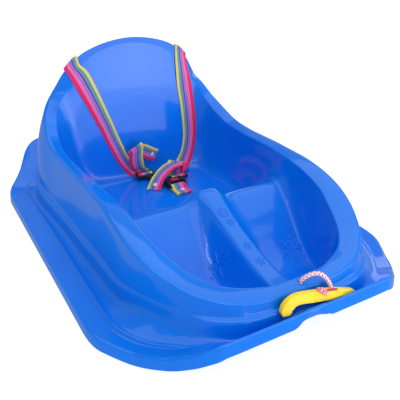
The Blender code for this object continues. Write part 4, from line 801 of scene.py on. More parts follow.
def bump(nt, bsdf, height, strength, distance, under=None):
    ins = {"Height": height, "Strength": strength, "Distance": distance}
    if under is not None:
        ins["Normal"] = under
    n = node(nt, "ShaderNodeBump", ins)
    nt.links.new(n.outputs[0], bsdf.inputs["Normal"])
    return n.outputs[0]


def srgb(r, g, b):
    f = lambda c: ((c / 255 + .055) / 1.055) ** 2.4 if c > 10.3 else c / 255 / 12.92
    return (f(r), f(g), f(b))


def shell_material():
    m, nt, b = new_mat("sled_plastic", (.003, .135, .86), .16)
    o = coords(nt)
    tone = noise_tex(nt, o, 7, 3)
    nt.links.new(ramp(nt, tone, [(.3, (.0006, .172, .80)), (.7, (.0010, .196, .86))]), b.inputs["Base Color"])
    cloud = noise_tex(nt, o, 38, 3)
    nt.links.new(spread(nt, cloud, .12, .21, .3, .7), b.inputs["Roughness"])
    flow = noise_tex(nt, coords(nt, (60, 7, 60)), 1, 3, .6)
    first = bump(nt, b, flow, .10, .0006)
    peel = noise_tex(nt, o, 330, 1)
    bump(nt, b, peel, .05, .0003, first)
    b.inputs["Coat Weight"].default_value = .45
    b.inputs["Coat Roughness"].default_value = .04
    b.inputs["IOR"].default_value = 1.5
    b.inputs["Specular IOR Level"].default_value = .20
    return m


def yellow_material():
    m, nt, b = new_mat("handle_plastic", (.93, .70, .05), .3)
    o = coords(nt)
    nt.links.new(ramp(nt, noise_tex(nt, o, 60, 3), [(.3, srgb(252, 212, 30)), (.7, srgb(255, 228, 52))]), b.inputs["Base Color"])
    nt.links.new(spread(nt, noise_tex(nt, o, 160, 2), .25, .40, .3, .7), b.inputs["Roughness"])
    bump(nt, b, noise_tex(nt, o, 900, 2), .08, .0003)
    b.inputs["Subsurface Weight"].default_value = .08
    b.inputs["Subsurface Radius"].default_value = (.004, .003, .001)
    return m


# stripes of the webbing: share of the width where each ends, from the red edge
STRIPES = [(.235, (252, 22, 98)), (.262, (252, 156, 196)), (.36, (246, 104, 184)),
           (.385, (248, 178, 214)), (.50, (190, 98, 200)), (.525, (206, 180, 226)),
           (.665, (102, 84, 182)), (.69, (160, 188, 208)), (.83, (94, 164, 150)),
           (.855, (212, 224, 160)), (1.0, (252, 224, 108))]


def web_material():
    """Lengthwise stripes; warp threads side by side, crossed by weft ribs."""
    m, nt, b = new_mat("striped_webbing", (.6, .3, .5), .78)
    uv = nt.nodes.new("ShaderNodeUVMap")
    sep = node(nt, "ShaderNodeSeparateXYZ", {0: uv.outputs[0]})
    u, v = sep.outputs[0], sep.outputs[1]
    stops, last = [], 0.0
    for end, c in STRIPES:
        stops.append((last, srgb(*c)))
        last = end
    col = ramp(nt, u, stops, "CONSTANT")
    # weft ribs every 1.3 mm, warp threads every .8 mm, both slightly uneven
    wob = noise_tex(nt, coords(nt), 420, 2)
    vv = calc(nt, "ADD", calc(nt, "MULTIPLY", v, 2 * math.pi / .00135), calc(nt, "MULTIPLY", wob, 1.5))
    rib = calc(nt, "MULTIPLY_ADD", calc(nt, "SINE", vv), .5, .5)
    warp_n = calc(nt, "MULTIPLY", u, 40.0)
    odd = calc(nt, "MULTIPLY", calc(nt, "MODULO", calc(nt, "FLOOR", warp_n), 2.0), math.pi)
    rib2 = calc(nt, "MULTIPLY_ADD", calc(nt, "SINE", calc(nt, "ADD", vv, odd)), .5, .5)
    thread = calc(nt, "ABSOLUTE", calc(nt, "SINE", calc(nt, "MULTIPLY", warp_n, math.pi)))
    h = calc(nt, "MULTIPLY", calc(nt, "MULTIPLY_ADD", rib2, .65, .35), calc(nt, "MULTIPLY_ADD", thread, .5, .5))
    # painted light and shade of the weave: the stripe colour is darkened in the grooves between threads and ribs and
    # lightened slightly on their crowns, following the thread height h
    shade = spread(nt, h, .74, 1.06, .12, .85)
    mul = node(nt, "ShaderNodeVectorMath", {0: col, 1: (1, 1, 1)}, operation="MULTIPLY")
    comb = node(nt, "ShaderNodeCombineXYZ", {0: shade, 1: shade, 2: shade})
    nt.links.new(comb.outputs[0], mul.inputs[1])
    nt.links.new(mul.outputs[0], b.inputs["Base Color"])
    first = bump(nt, b, h, .75, .00035)
    bump(nt, b, rib, .20, .0002, first)
    b.inputs["Sheen Weight"].default_value = .35
    b.inputs["Sheen Roughness"].default_value = .45
    return m


BRAID_M, BRAID_L = 6.0, .0108              # strands each way, length of a full twist


def rope_material(name="braided_cord", every=3.0, light=(246, 232, 234), deep=(222, 40, 84), soft=(242, 128, 164)):
    m, nt, b = new_mat(name, (.86, .6, .64), .75)
    uv = nt.nodes.new("ShaderNodeUVMap")
    sep = node(nt, "ShaderNodeSeparateXYZ", {0: uv.outputs[0]})
    u, v = sep.outputs[0], sep.outputs[1]
    mu = calc(nt, "MULTIPLY", u, BRAID_M)
    mv = calc(nt, "MULTIPLY", v, BRAID_M / BRAID_L)
    p, q = calc(nt, "ADD", mu, mv), calc(nt, "SUBTRACT", calc(nt, "ADD", mu, 6000.0), mv)
    ip, iq = calc(nt, "FLOOR", p), calc(nt, "FLOOR", q)
    over = calc(nt, "MODULO", calc(nt, "ADD", ip, iq), 2.0)
    # tracer strands: one in three of each set is coloured
    red = calc(nt, "LESS_THAN", calc(nt, "MODULO", ip, every), .5)
    pink = calc(nt, "LESS_THAN", calc(nt, "MODULO", iq, every), .5)
    white = srgb(*light)
    c1 = node(nt, "ShaderNodeMix", {"Factor": red, "A": (*white, 1), "B": (*srgb(*deep), 1)}, data_type="RGBA")
    c2 = node(nt, "ShaderNodeMix", {"Factor": pink, "A": (*white, 1), "B": (*srgb(*soft), 1)}, data_type="RGBA")
    for n in (c1, c2):
        n.inputs[6].default_value = (*white, 1)
    c1.inputs[7].default_value = (*srgb(*deep), 1)
    c2.inputs[7].default_value = (*srgb(*soft), 1)
    mix_n = node(nt, "ShaderNodeMix", {"Factor": over}, data_type="RGBA")
    nt.links.new(c1.outputs[2], mix_n.inputs[6])
    nt.links.new(c2.outputs[2], mix_n.inputs[7])
    nt.links.new(mix_n.outputs[2], b.inputs["Base Color"])
    fine = noise_tex(nt, coords(nt), 2600, 2)
    bump(nt, b, fine, .35, .0002)
    b.inputs["Sheen Weight"].default_value = .3
    return m


def black_material():
    m, nt, b = new_mat("buckle_plastic", (.010, .010, .012), .32)
    o = coords(nt)
    nt.links.new(ramp(nt, noise_tex(nt, o, 90, 3), [(.3, (.006, .006, .008)), (.7, (.016, .016, .019))]), b.inputs["Base Color"])
    nt.links.new(spread(nt, noise_tex(nt, o, 300, 2), .26, .42, .3, .7), b.inputs["Roughness"])
    bump(nt, b, noise_tex(nt, o, 1500, 2), .12, .0002)
    return m


def plain_material(name, lo, hi, r0, r1, metal=0.0, grain=1200):
    m, nt, b = new_mat(name, lo, r0, metal)
    o = coords(nt)
    nt.links.new(ramp(nt, noise_tex(nt, o, 140, 3), [(.3, lo), (.7, hi)]), b.inputs["Base Color"])
    nt.links.new(spread(nt, noise_tex(nt, o, 350, 2), r0, r1, .3, .7), b.inputs["Roughness"])
    bump(nt, b, noise_tex(nt, o, grain, 2), .08, .0002)
    return m


BLUE, YELLOW, WEBBING, ROPE, BLACK = (shell_material(), yellow_material(), web_material(),
                                      rope_material(), black_material())
KNOT = rope_material("braided_cord_knot", 2.0, (250, 206, 216), (214, 30, 72), (240, 98, 138))
# painted shade: the knot's tail gets a darker red copy of the cord material, with its white strands turned pink and
# its reds darkened as if lying in shadow
SHADED_TAIL = rope_material("braided_cord_end_painted_shade", 1.0, (220, 90, 100), (176, 34, 46), (202, 60, 72))
RED = plain_material("button_plastic", srgb(196, 14, 24), srgb(214, 24, 32), .26, .38)
WHITE = plain_material("cap_plastic", srgb(228, 228, 224), srgb(240, 240, 238), .25, .40)
STEEL = plain_material("zinc_steel", (.60, .61, .63), (.70, .71, .73), .22, .38, 1.0)


# ---------------------------------------------------------------- pieces
def piece(name, me, mat, smooth_angle=None, body="sled", replaces=()):
    if isinstance(me, bmesh.types.BMesh):
        bm = me
        me = bpy.data.meshes.new(name)
        bm.to_mesh(me)
        bm.free()
    me.name = name
    me.shade_smooth()
    if smooth_angle:
        me.set_sharp_from_angle(angle=math.radians(smooth_angle))
    ob = bpy.data.objects.new(name, me)
    bpy.context.scene.collection.objects.link(ob)
    me.materials.append(mat)
    if body:
        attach(ob, body)
    if replaces:
        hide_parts(*replaces)
    return ob


def grid_mesh(name, verts, faces, uvs=None):
    me = bpy.data.meshes.new(name)
    me.from_pydata([tuple(v) for v in verts], [], faces)
    if uvs is not None:
        lay_ = me.uv_layers.new(name="UVMap")
        lay_.data.foreach_set("uv", np.asarray(uvs, np.float32).ravel())
    me.validate()
    me.update()
    return me


# shell: the outlines at fine steps, rounded across the rings
def stations(n=210):
    """Fine stations; closer together round the corners and at the bay's step."""
    u = np.linspace(0, 1, 4001)
    w = np.ones_like(u)
    w += 1.3 * np.exp(-((u - .20) / .10) ** 2) + 1.6 * np.exp(-((u - .86) / .12) ** 2)
    w += 10 * np.exp(-((u - .062) / .007) ** 2)
    c = np.concatenate([[0], np.cumsum((w[1:] + w[:-1]) / 2)])
    return np.interp(np.linspace(0, c[-1], n), c, u)


def round_rows(rings, radii, fine=5):
    """Rows through a stack of rings with its corners rounded off."""
    g = metres(np.array(rings))
    out = [g[0]]
    for i in range(1, len(g) - 1):
        p, r = g[i], radii[i]
        if r <= 0:
            out.append(p)
            continue
        a, b = g[i - 1] - p, g[i + 1] - p
        la = np.linalg.norm(a, axis=1, keepdims=True) + 1e-9
        lb = np.linalg.norm(b, axis=1, keepdims=True) + 1e-9
        a = p + a * np.minimum(r / la, .485)
        b = p + b * np.minimum(r / lb, .485)
        for t in np.linspace(0, 1, fine):
            out.append((1 - t) ** 2 * a + 2 * t * (1 - t) * p + t * t * b)
    out.append(g[-1])
    return out


def drill(at, axis, r, depth, sides=32):
    """Round cutter centred on a point along an axis."""
    bm = bmesh.new()
    bmesh.ops.create_cone(bm, cap_ends=True, segments=sides, radius1=r, radius2=r, depth=depth)
    turn_ = Vector(axis).to_track_quat("Z", "Y").to_matrix().to_4x4()
    bmesh.ops.transform(bm, matrix=Matrix.Translation(Vector(at)) @ turn_, verts=bm.verts)
    return bm


def carve(ob, bm, how="DIFFERENCE", sharp=None):
    """Cut a tool out of a piece, or join it on."""
    bmesh.ops.recalc_face_normals(bm, faces=bm.faces)
    tool_me = bpy.data.meshes.new("tool")
    bm.to_mesh(tool_me)
    bm.free()
    tool = bpy.data.objects.new("tool", tool_me)
    bpy.context.scene.collection.objects.link(tool)
    mod = ob.modifiers.new("cut", "BOOLEAN")
    mod.operation, mod.object, mod.solver = how, tool, "MANIFOLD"
    dg = bpy.context.evaluated_depsgraph_get()
    done = bpy.data.meshes.new_from_object(ob.evaluated_get(dg))
    ob.modifiers.remove(mod)
    old = ob.data
    ob.data = done
    bpy.data.meshes.remove(old)
    bpy.data.objects.remove(tool)
    ob.data.shade_smooth()
    if sharp:
        ob.data.set_sharp_from_angle(angle=math.radians(sharp))


def shell_piece():
    u = stations()
    o = outlines(u)
    top = top_rings(u, o)
    bot = under_rings(u, o, top)
    top[-1] = top[-1] * [0, 1, 1]
    bot[-1] = bot[-1] * [0, 1, 1]
    # corner radii, metres: skirt lip lip foot bead bead bead crease ledge
    # shelf wall wall rim rim rim, then the inner wall and the floor
    r_top = [0, .0020, .0024, .0040, .0035, .0045, .0040, .0080, .0060,
             .0075, .03, .03, .0070, .012, .0032] + [.03] * 10
    r_top += [0] * (len(top) - len(r_top))
    r_bot = [0, .0020, .0045, .0080, .0060, .0075, .02, .02, .003, .003] + [.02] * 7
    r_bot += [0] * (len(bot) - len(r_bot))
    rows = round_rows(top, r_top)[::-1] + round_rows(bot, r_bot, 3)
    h = np.array(rows)
    n, k = h.shape[:2]
    verts = list(h.reshape(-1, 3))
    idx = np.full((n, 2 * k - 2), -1, int)
    idx[:, :k] = np.arange(n * k).reshape(n, k)
    for i in range(n):
        if i in (0, n - 1):
            idx[i, k:] = idx[i, 1:k - 1][::-1]
        else:
            for j in range(k - 2):
                v = h[i, k - 2 - j] * [-1, 1, 1]
                idx[i, k + j] = len(verts)
                verts.append(v)
    faces = []
    m = idx.shape[1]
    for i in range(n - 1):
        a, b = idx[i], idx[i + 1]
        for j in range(m):
            j2 = (j + 1) % m
            q = [a[j], b[j], b[j2], a[j2]]
            q = [v for c, v in enumerate(q) if v not in q[:c]]
            if len(q) > 2:
                faces.append([int(v) for v in q])
    me = grid_mesh("shell_skin", verts, faces)
    bm = bmesh.new()
    bm.from_mesh(me)
    bmesh.ops.recalc_face_normals(bm, faces=bm.faces)
    bm.to_mesh(me)
    bm.free()
    ob = piece("shell", me, BLUE, None, "sled", ("sled_shell",))
    # runners under the brim
    for x, y0, y1, top in ((.15, -.50, -.40, 6.0), (-.15, -.50, -.40, 6.0),
                           (.15, .13, .34, 19.0), (-.15, .13, .34, 19.0)):
        c, a, b = x * W * 1000, (y0 + YC) * W * 1000, (y1 + YC) * W * 1000
        bm = bmesh.new()
        plan = lambda i: rounded_plan(9, 9, a, b, 3.0, c, 8, inset=i)
        block(bm, [(plan(1.2), 0), (plan(.62), .10), (plan(.22), .45), (plan(0), 1.2), (plan(0), top)])
        carve(ob, bm, "UNION")
    # rope hole
    carve(ob, drill(Vector(P(*ROPE_HOLE)) + Vector((0, 0, -.005)), (0, 0, 1), ROPE_HOLE_R, .05, 40))
    ob.data.name = "shell_skin"
    ob.data.shade_smooth()
    print("shell faces", len(ob.data.polygons))
    return ob


def dense(secs, step):
    """Webbing centre and edges at even steps along a smooth curve."""
    g = np.array(secs, float)
    d = np.linalg.norm(np.diff(g[:, 1], axis=0), axis=1)
    t = np.concatenate([[0], np.cumsum(np.maximum(d, 1e-5))])
    q = np.concatenate([2 * g[:1] - g[1:2], g, 2 * g[-1:] - g[-2:-1]])
    tt = np.concatenate([[2 * t[0] - t[1]], t, [2 * t[-1] - t[-2]]])
    # tangents for uneven knots
    m = np.empty_like(g)
    for i in range(1, len(q) - 1):
        a, b = tt[i] - tt[i - 1], tt[i + 1] - tt[i]
        m[i - 1] = (b * (q[i] - q[i - 1]) / a + a * (q[i + 1] - q[i]) / b) / (a + b)
    n = int(round(t[-1] / step))
    x = np.linspace(0, t[-1], n + 1)
    i = np.clip(np.searchsorted(t, x, side="right") - 1, 0, len(t) - 2)
    hh = (t[i + 1] - t[i])[:, None, None]
    s = ((x - t[i]) / (t[i + 1] - t[i]))[:, None, None]
    return x, ((2*s**3 - 3*s**2 + 1) * g[i] + (s**3 - 2*s**2 + s) * hh * m[i]
               + (-2*s**3 + 3*s**2) * g[i + 1] + (s**3 - s**2) * hh * m[i + 1])


def webbing(name, secs, body, replaces, thick=.0015, step=.0011, across=16):
    x, g = dense(secs, step)
    c, e = g[:, 1], g[:, 2] - g[:, 0]
    tan = unit(np.gradient(c, axis=0))
    nrm = unit(np.cross(tan, unit(e)))
    s = (1 - np.cos(np.linspace(0, math.pi, across + 1))) / 2 * .5 + np.linspace(0, 1, across + 1) * .5
    half = thick / 2 * np.maximum(1 - np.abs(2 * s - 1) ** 7, 0) ** .5
    la, lm, lb = (2 * (s - .5) * (s - 1), 4 * s * (1 - s), 2 * s * (s - .5))
    mid = (g[:, 0, None] * la[None, :, None] + g[:, 1, None] * lm[None, :, None]
           + g[:, 2, None] * lb[None, :, None])
    up = mid + nrm[:, None] * half[None, :, None]
    dn = mid - nrm[:, None] * half[None, :, None]
    loop_ = np.concatenate([up, dn[:, 1:-1][:, ::-1]], axis=1)
    su = np.concatenate([s, s[1:-1][::-1]])
    k = loop_.shape[1]
    verts = loop_.reshape(-1, 3)
    faces, uvs = [], []
    for i in range(len(x) - 1):
        for j in range(k):
            j2 = (j + 1) % k
            faces.append([i * k + j, (i + 1) * k + j, (i + 1) * k + j2, i * k + j2])
            uvs += [(su[j], x[i]), (su[j], x[i + 1]), (su[j2], x[i + 1]), (su[j2], x[i])]
    faces.append([j for j in range(k)])
    uvs += [(su[j], x[0]) for j in range(k)]
    faces.append([(len(x) - 1) * k + j for j in range(k)][::-1])
    uvs += [(su[j], x[-1]) for j in range(k)][::-1]
    me = grid_mesh(name, verts, faces, uvs)
    return piece(name, me, WEBBING, 55, body, replaces)


def braid_tube(name, pts, radius, sides=30, step=.0007, start=0.0, cap=True):
    """Braided cord: a tube whose surface rises and dips with its strands."""
    p = np.array(pts, float)
    s = np.concatenate([[0], np.cumsum(np.linalg.norm(np.diff(p, axis=0), axis=1))])
    n = int(s[-1] / step)
    x = np.linspace(0, s[-1], n + 1)
    c = np.column_stack([np.interp(x, s, p[:, k]) for k in range(3)])
    for _ in range(6):                                   # ease the polyline
        c[1:-1] = c[1:-1] * .5 + (c[:-2] + c[2:]) * .25
    t = unit(np.gradient(c, axis=0))
    a = np.empty_like(c)
    v = np.array(Vector(t[0]).orthogonal().normalized())
    for i in range(len(c)):
        v = v - t[i] * np.dot(v, t[i])
        v = v / np.linalg.norm(v)
        a[i] = v
    b = np.cross(t, a)
    th = np.linspace(0, 1, sides, endpoint=False)
    U, V = np.meshgrid(th, x + start)
    pp, qq = BRAID_M * (U + V / BRAID_L), BRAID_M * (U - V / BRAID_L)
    over = (np.floor(pp) + np.floor(qq)) % 2
    arch = np.where(over < .5, np.abs(np.sin(math.pi * pp)), np.abs(np.sin(math.pi * qq)))
    other = np.where(over < .5, np.abs(np.sin(math.pi * qq)), np.abs(np.sin(math.pi * pp)))
    r = radius * (.885 + .115 * np.sqrt(arch) * (.75 + .25 * other))
    ang = 2 * math.pi * th
    ring = (a[:, None] * np.cos(ang)[None, :, None] + b[:, None] * np.sin(ang)[None, :, None])
    verts = (c[:, None] + ring * r[:, :, None]).reshape(-1, 3)
    faces, uvs = [], []
    k = sides
    for i in range(n):
        for j in range(k):
            j2 = (j + 1) % k
            faces.append([i * k + j, i * k + j2, (i + 1) * k + j2, (i + 1) * k + j])
            u0, u1 = j / k, (j + 1) / k
            uvs += [(u0, V[i, 0]), (u1, V[i, 0]), (u1, V[i + 1, 0]), (u0, V[i + 1, 0])]
    faces.append(list(range(k))[::-1])
    uvs += [(j / k, V[0, 0]) for j in range(k)][::-1]
    faces.append([n * k + j for j in range(k)])
    uvs += [(j / k, V[-1, 0]) for j in range(k)]
    return grid_mesh(name, verts, faces, uvs), c


def coil_path():
    """From the end of the laid rope through four turns to the stopper knot."""
    d = math.radians
    pts = []
    r_out, r_in = COIL_R + .0032, COIL_R - .0032
    lo, hi = COIL[2] - .0030, COIL[2] + .0030

    def at(r, a, z):
        pts.append((COIL[0] + r * math.cos(d(a)), COIL[1] + r * math.sin(d(a)), z))
    # angle (degrees), radius, height along the winding
    key = [(-20, .0398, .0034), (0, .0372, .0042), (20, r_out, lo), (330, r_out, lo), (370, r_in, lo),
           (690, r_in, lo), (730, r_in, hi), (1050, r_in, hi), (1090, r_out, hi), (1440, r_out, hi),
           (1490, r_out, hi)]
    ka = [k[0] for k in key]
    for a in np.arange(-20, 1491, 10):
        f = float(a)
        i = min(int(np.searchsorted(ka, f, side="right")) - 1, len(key) - 2)
        t = (f - ka[i]) / (ka[i + 1] - ka[i])
        t = t * t * (3 - 2 * t)
        at(key[i][1] + t * (key[i + 1][1] - key[i][1]), f, key[i][2] + t * (key[i + 1][2] - key[i][2]))
    return pts


def relief(name, strokes, height, width, z_from=.20, body="sled"):
    """Raised strokes moulded on the shell: each a polyline in plan (metres)."""
    bm = bmesh.new()
    for line in strokes:
        p = np.array(line, float)
        s = np.concatenate([[0], np.cumsum(np.linalg.norm(np.diff(p, axis=0), axis=1))])
        n = max(2, int(s[-1] / .0012))
        x = np.linspace(0, s[-1], n + 1)
        q = np.column_stack([np.interp(x, s, p[:, k]) for k in (0, 1)])
        t = unit(np.gradient(q, axis=0))
        side = np.column_stack([-t[:, 1], t[:, 0]])
        rows = []
        for i in range(n + 1):
            f = min(1.0, (i + .4) / 1.6, (n - i + .4) / 1.6)
            row = []
            for a, h in ((-1, -.25), (-.72, .55), (-.3, .95), (0, 1), (.3, .95), (.72, .55), (1, -.25)):
                xy = q[i] + side[i] * a * width / 2 * f
                hit, nn, _, _ = SHELL_TREE.ray_cast(Vector((xy[0], xy[1], z_from)), Vector((0, 0, -1)))
                row.append(bm.verts.new(hit + nn * height * (h * f if h > 0 else h)))
            under = []
            for a in (.6, -.6):
                xy = q[i] + side[i] * a * width / 2 * f
                hit, nn, _, _ = SHELL_TREE.ray_cast(Vector((xy[0], xy[1], z_from)), Vector((0, 0, -1)))
                under.append(bm.verts.new(hit - nn * .0012))
            rows.append(row + under)
        k = len(rows[0])
        for a, b in zip(rows, rows[1:]):
            for j in range(k):
                bm.faces.new([a[j], a[(j + 1) % k], b[(j + 1) % k], b[j]])
        bm.faces.new(rows[0][::-1])
        bm.faces.new(rows[-1])
    bmesh.ops.recalc_face_normals(bm, faces=bm.faces)
    return piece(name, bm, BLUE, None, body)


def turn(p, a, c=(0, 0)):
    a = math.radians(a)
    return [(c[0] + x * math.cos(a) - y * math.sin(a), c[1] + x * math.sin(a) + y * math.cos(a)) for x, y in p]


def snowflake(cx, cy, r, spin, arms=6):
    """Plain six-armed ice star with side twigs."""
    out = []
    for k in range(arms):
        a = spin + 360 * k / arms
        out.append(turn([(r * .10, 0), (r, 0)], a, (cx, cy)))
        for f, l in ((.42, .30), (.70, .22)):
            for s in (1, -1):
                tip = (r * (f + l * .62), s * r * l * .78)
                out.append(turn([(r * f, 0), tip], a, (cx, cy)))
    return out


# ---- shell and the marks moulded in it
shell = shell_piece()
bm_ = bmesh.new()
bm_.from_mesh(shell.data)
SHELL_TREE = BVHTree.FromBMesh(bm_)
bm_.free()
cad = nodes["sled_shell"]
bm_ = bmesh.new()
bm_.from_mesh(cad.data)
CAD_TREE = BVHTree.FromBMesh(bm_)
bm_.free()

relief("foot_well_star_right", snowflake(.112, -.176, .026, 12), .0017, .0030)
relief("foot_well_star_left", snowflake(-.112, -.176, .026, 12), .0017, .0030)
relief("rib_foot_star", snowflake(-.036, -.172, .018, 20), .0007, .0026)
relief("rib_star_rear", snowflake(.001, -.146, .0085, 0), .0008, .0013)
relief("rib_star_middle", snowflake(.001, -.197, .0085, 30), .0008, .0013)
relief("rib_star_front", snowflake(.001, -.232, .0095, 10), .0008, .0013)
circle = [(.0085 * math.cos(t), -.1255 + .0085 * math.sin(t)) for t in np.linspace(0, 2 * math.pi, 40)]
inner_ring = [(.0045 * math.cos(t), -.1255 + .0045 * math.sin(t)) for t in np.linspace(0, 2 * math.pi, 28)]
relief("rib_ring_mark", [circle, inner_ring], .0011, .0018)

# ---- harness
secs_r, secs_l = strap_right(CAD_TREE), strap_left(CAD_TREE)
webbing("shoulder_web_right", secs_r, "sled", ("shoulder_strap_right",))
webbing("shoulder_web_left", secs_l, "sled", ("shoulder_strap_left",))
secs = []
for y in (89.4, 96, 104, 112, 120, 128, 134, 142):
    row = [Vector(mm(SOCK_X + dx, y, 60)) for dx in (16, 0, -16)]
    z = max(SHELL_TREE.ray_cast(r, Vector((0, 0, -1)))[0].z for r in row)
    secs.append(section(mm(SOCK_X + 16, y, 0) + (0, 0, z + .0011), mm(SOCK_X - 16, y, 0) + (0, 0, z + .0011)))
webbing("crotch_web", secs, "sled", ("crotch_strap",))
webbing("crotch_web_loop", crotch_loop(), "buckle_socket", ("crotch_strap_loop",))

# rivet holes through the shell, in line with the rivets' shanks
for n_ in ("left", "right", "crotch"):
    v = np.array([nodes["anchor_rivet_" + n_].matrix_world @ q.co for q in nodes["anchor_rivet_" + n_].data.vertices])
    w_, e_ = np.linalg.eigh(np.cov((v - v.mean(0)).T))
    k_ = int(np.argmax([min(abs(w_[i] - w_[(i + 1) % 3]), abs(w_[i] - w_[(i + 2) % 3])) for i in range(3)]))
    carve(shell, drill(v.mean(0), e_[:, k_], .0019, .030, 20), sharp=60)

# ---- rope
arc = [(0, -.616, .1195), (0, -.6162, .1260), (.0018, -.6183, .1312), (.0077, -.6213, .1376),
       (.0148, -.6259, .1443), (.0278, -.6327, .1500), (.0414, -.6396, .1478), (.0527, -.6449, .1383),
       (.0613, -.6494, .1262), (.0672, -.6521, .1137), (.0710, -.6540, .1027), (.0722, -.6545, .0940)]
out_pts = spline([P(*p) for p in arc], .0010)[::-1]
in_pts = spline([P(*p) for p in ROPE_IN], .0010)
coil_pts = spline(coil_path(), .0015)
route = np.concatenate([out_pts[:-1], in_pts, coil_pts])
me, line = braid_tube("tow_cord", route, ROPE_R)
rope = piece("tow_cord", me, ROPE, None, None, ("tow_rope", "tow_rope_lower", "tow_rope_coil"))
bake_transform(rope)

# overhand knot drawn tight on the grip's front edge, its tail laid along the top
KNOT_A, KNOT_B = np.array(P(.0245, -.6650, .1225)), np.array(P(.0385, -.6722, .1105))
ax_ = KNOT_B - KNOT_A
e1 = unit(np.cross(ax_, [0, 1, 0]))
e2 = np.cross(unit(ax_), e1)
way = [KNOT_A + [-.0010, .0050, -.0040], KNOT_A + [-.0012, .0032, -.0008]]
for t in np.linspace(0, 1, 34):
    a = 2 * math.pi * 2.4 * t + 1.2
    way.append(KNOT_A + ax_ * t + (e1 * math.cos(a) + e2 * math.sin(a)) * (.0023 + .0004 * math.sin(5 * t)))
way += [KNOT_B + [.0022, .0034, -.0012], KNOT_B + [.0044, .0060, -.0010]]
me, _ = braid_tube("knot", spline(way, .0008), .0024)
knot = piece("rope_knot", me, KNOT, None, "tow_handle", ("handle_knot",))
way = [P(.0400, -.6690, .1085), P(.0470, -.6655, .1105), P(.0560, -.6640, .1080), P(.0660, -.6635, .1046),
       P(.0760, -.6630, .1012), P(.0835, -.6625, .0985)]
# the tail is coloured with the darkened copy of the cord material: painted shade
me, _ = braid_tube("knot_tail", spline(way, .0008), .0019)
tail = piece("rope_tail", me, SHADED_TAIL, None, "tow_handle")

# ---- handle
def corner_loop(pts, radii, arc=6, run=5):
    """Closed outline through corners rounded off, with points along the runs."""
    p = np.array(pts, float)
    n = len(p)
    ends = []
    for i in range(n):
        a, b = p[i - 1] - p[i], p[(i + 1) % n] - p[i]
        a, b = a / np.linalg.norm(a), b / np.linalg.norm(b)
        ends.append((p[i] + a * radii[i], p[i], p[i] + b * radii[i]))
    out = []
    for i in range(n):
        a, c, b = ends[i]
        for t in np.linspace(0, 1, arc):
            out.append((1 - t) ** 2 * a + 2 * t * (1 - t) * c + t * t * b)
        nxt = ends[(i + 1) % n][0]
        for t in np.linspace(0, 1, run + 2)[1:-1]:
            out.append(b + (nxt - b) * t)
    return np.array(out)


# grip section: back, sloping upper face, ridge, lower front strip
GRIP_SECTION = corner_loop([(1, 1), (1, -1), (-.80, -1), (-1, -.28), (-.40, 1)], (.26, .26, .16, .07, .24))


def grip_mesh():
    t = np.array(HANDLE)
    pts = spline(np.column_stack([t[:, 0], t[:, 1], t[:, 2] * .1, t[:, 3] * .1]), .0012)
    x, z, ft, fh = pts[:, 0], pts[:, 1], pts[:, 2] * 10, pts[:, 3] * 10
    c = np.array([P(a, HANDLE_Y, b) for a, b in zip(x, z)])
    tg = unit(np.gradient(c, axis=0))
    up = np.column_stack([-tg[:, 2], np.zeros(len(tg)), tg[:, 0]])
    ht, hh = ft * BAR_T / 2000, fh * BAR_H / 2000
    yy = np.array([0, 1, 0])
    rows = []

    def ring(p, u_, a, b):
        rows.append([p + yy * a * q[0] + u_ * b * q[1] for q in GRIP_SECTION])
    tip = [(.00305, .52), (.0029, .70), (.0024, .84), (.0017, .93), (.0008, .98)]
    for f, g in tip:
        ring(c[0] - tg[0] * f, up[0], ht[0] * g, hh[0] * g)
    for i in range(len(c)):
        ring(c[i], up[i], ht[i], hh[i])
    for f, g in tip[::-1]:
        ring(c[-1] + tg[-1] * f, up[-1], ht[-1] * g, hh[-1] * g)
    return np.array(rows)


def grip_piece():
    g = grip_mesh()
    n, k = g.shape[:2]
    # shallow moulded pockets in the lower front strip
    mid = g.mean(1)
    for lo, hi in ((-.004, .005), (.009, .018), (.046, .057), (.061, .071)):
        for i in range(n):
            f = min(1, max(0, min(mid[i, 0] - lo, hi - mid[i, 0])) / .0011)
            if f <= 0:
                continue
            for j in range(k):
                a, b = GRIP_SECTION[j]
                if a < -.6 and b < -.3:
                    g[i, j, 1] += .0012 * f * math.exp(-((b + .64) / .17) ** 2)
    verts = g.reshape(-1, 3)
    faces = []
    for i in range(n - 1):
        for j in range(k):
            j2 = (j + 1) % k
            faces.append([i * k + j, i * k + j2, (i + 1) * k + j2, (i + 1) * k + j])
    faces.append(list(range(k))[::-1])
    faces.append([(n - 1) * k + j for j in range(k)])
    me = grid_mesh("grip", verts, faces)
    bm = bmesh.new()
    bm.from_mesh(me)
    bmesh.ops.recalc_face_normals(bm, faces=bm.faces)
    bm.to_mesh(me)
    bm.free()
    ob = piece("grip", me, YELLOW, None, "tow_handle", ("tow_handle",))
    # notch for the rope in the rear edge
    carve(ob, drill(Vector(P(.0722, -.6545, .0885)) + Vector((0, 0, .001)), (0, 0, 1), .0036, .04), sharp=50)
    return ob


grip = grip_piece()

# ---- carried-over frame pieces
def finish_node(name, mat, bevel=None, seg=3):
    ob = nodes[name]
    ob.data.materials.clear()
    ob.data.materials.append(mat)
    if bevel:
        w = ob.modifiers.new("weld", "WELD")
        w.merge_threshold = 1e-6
        m = ob.modifiers.new("edge", "BEVEL")
        m.width, m.segments, m.limit_method = bevel, seg, "ANGLE"
        m.angle_limit = math.radians(40)
        m.harden_normals = True
    return ob


for n_ in ("buckle_socket", "buckle_tongue_left", "buckle_tongue_right"):
    finish_node(n_, BLACK, .0006)
finish_node("release_button", RED, .0004)
for n_ in ("tail_rivet_left", "tail_rivet_right", "loop_rivet"):
    finish_node(n_, WHITE)
finish_node("rope_tie", WHITE, .0003, 2)
for n_ in ("left", "right", "crotch"):
    finish_node("anchor_rivet_" + n_, STEEL)
    finish_node("anchor_washer_" + n_, STEEL, .0002, 2)

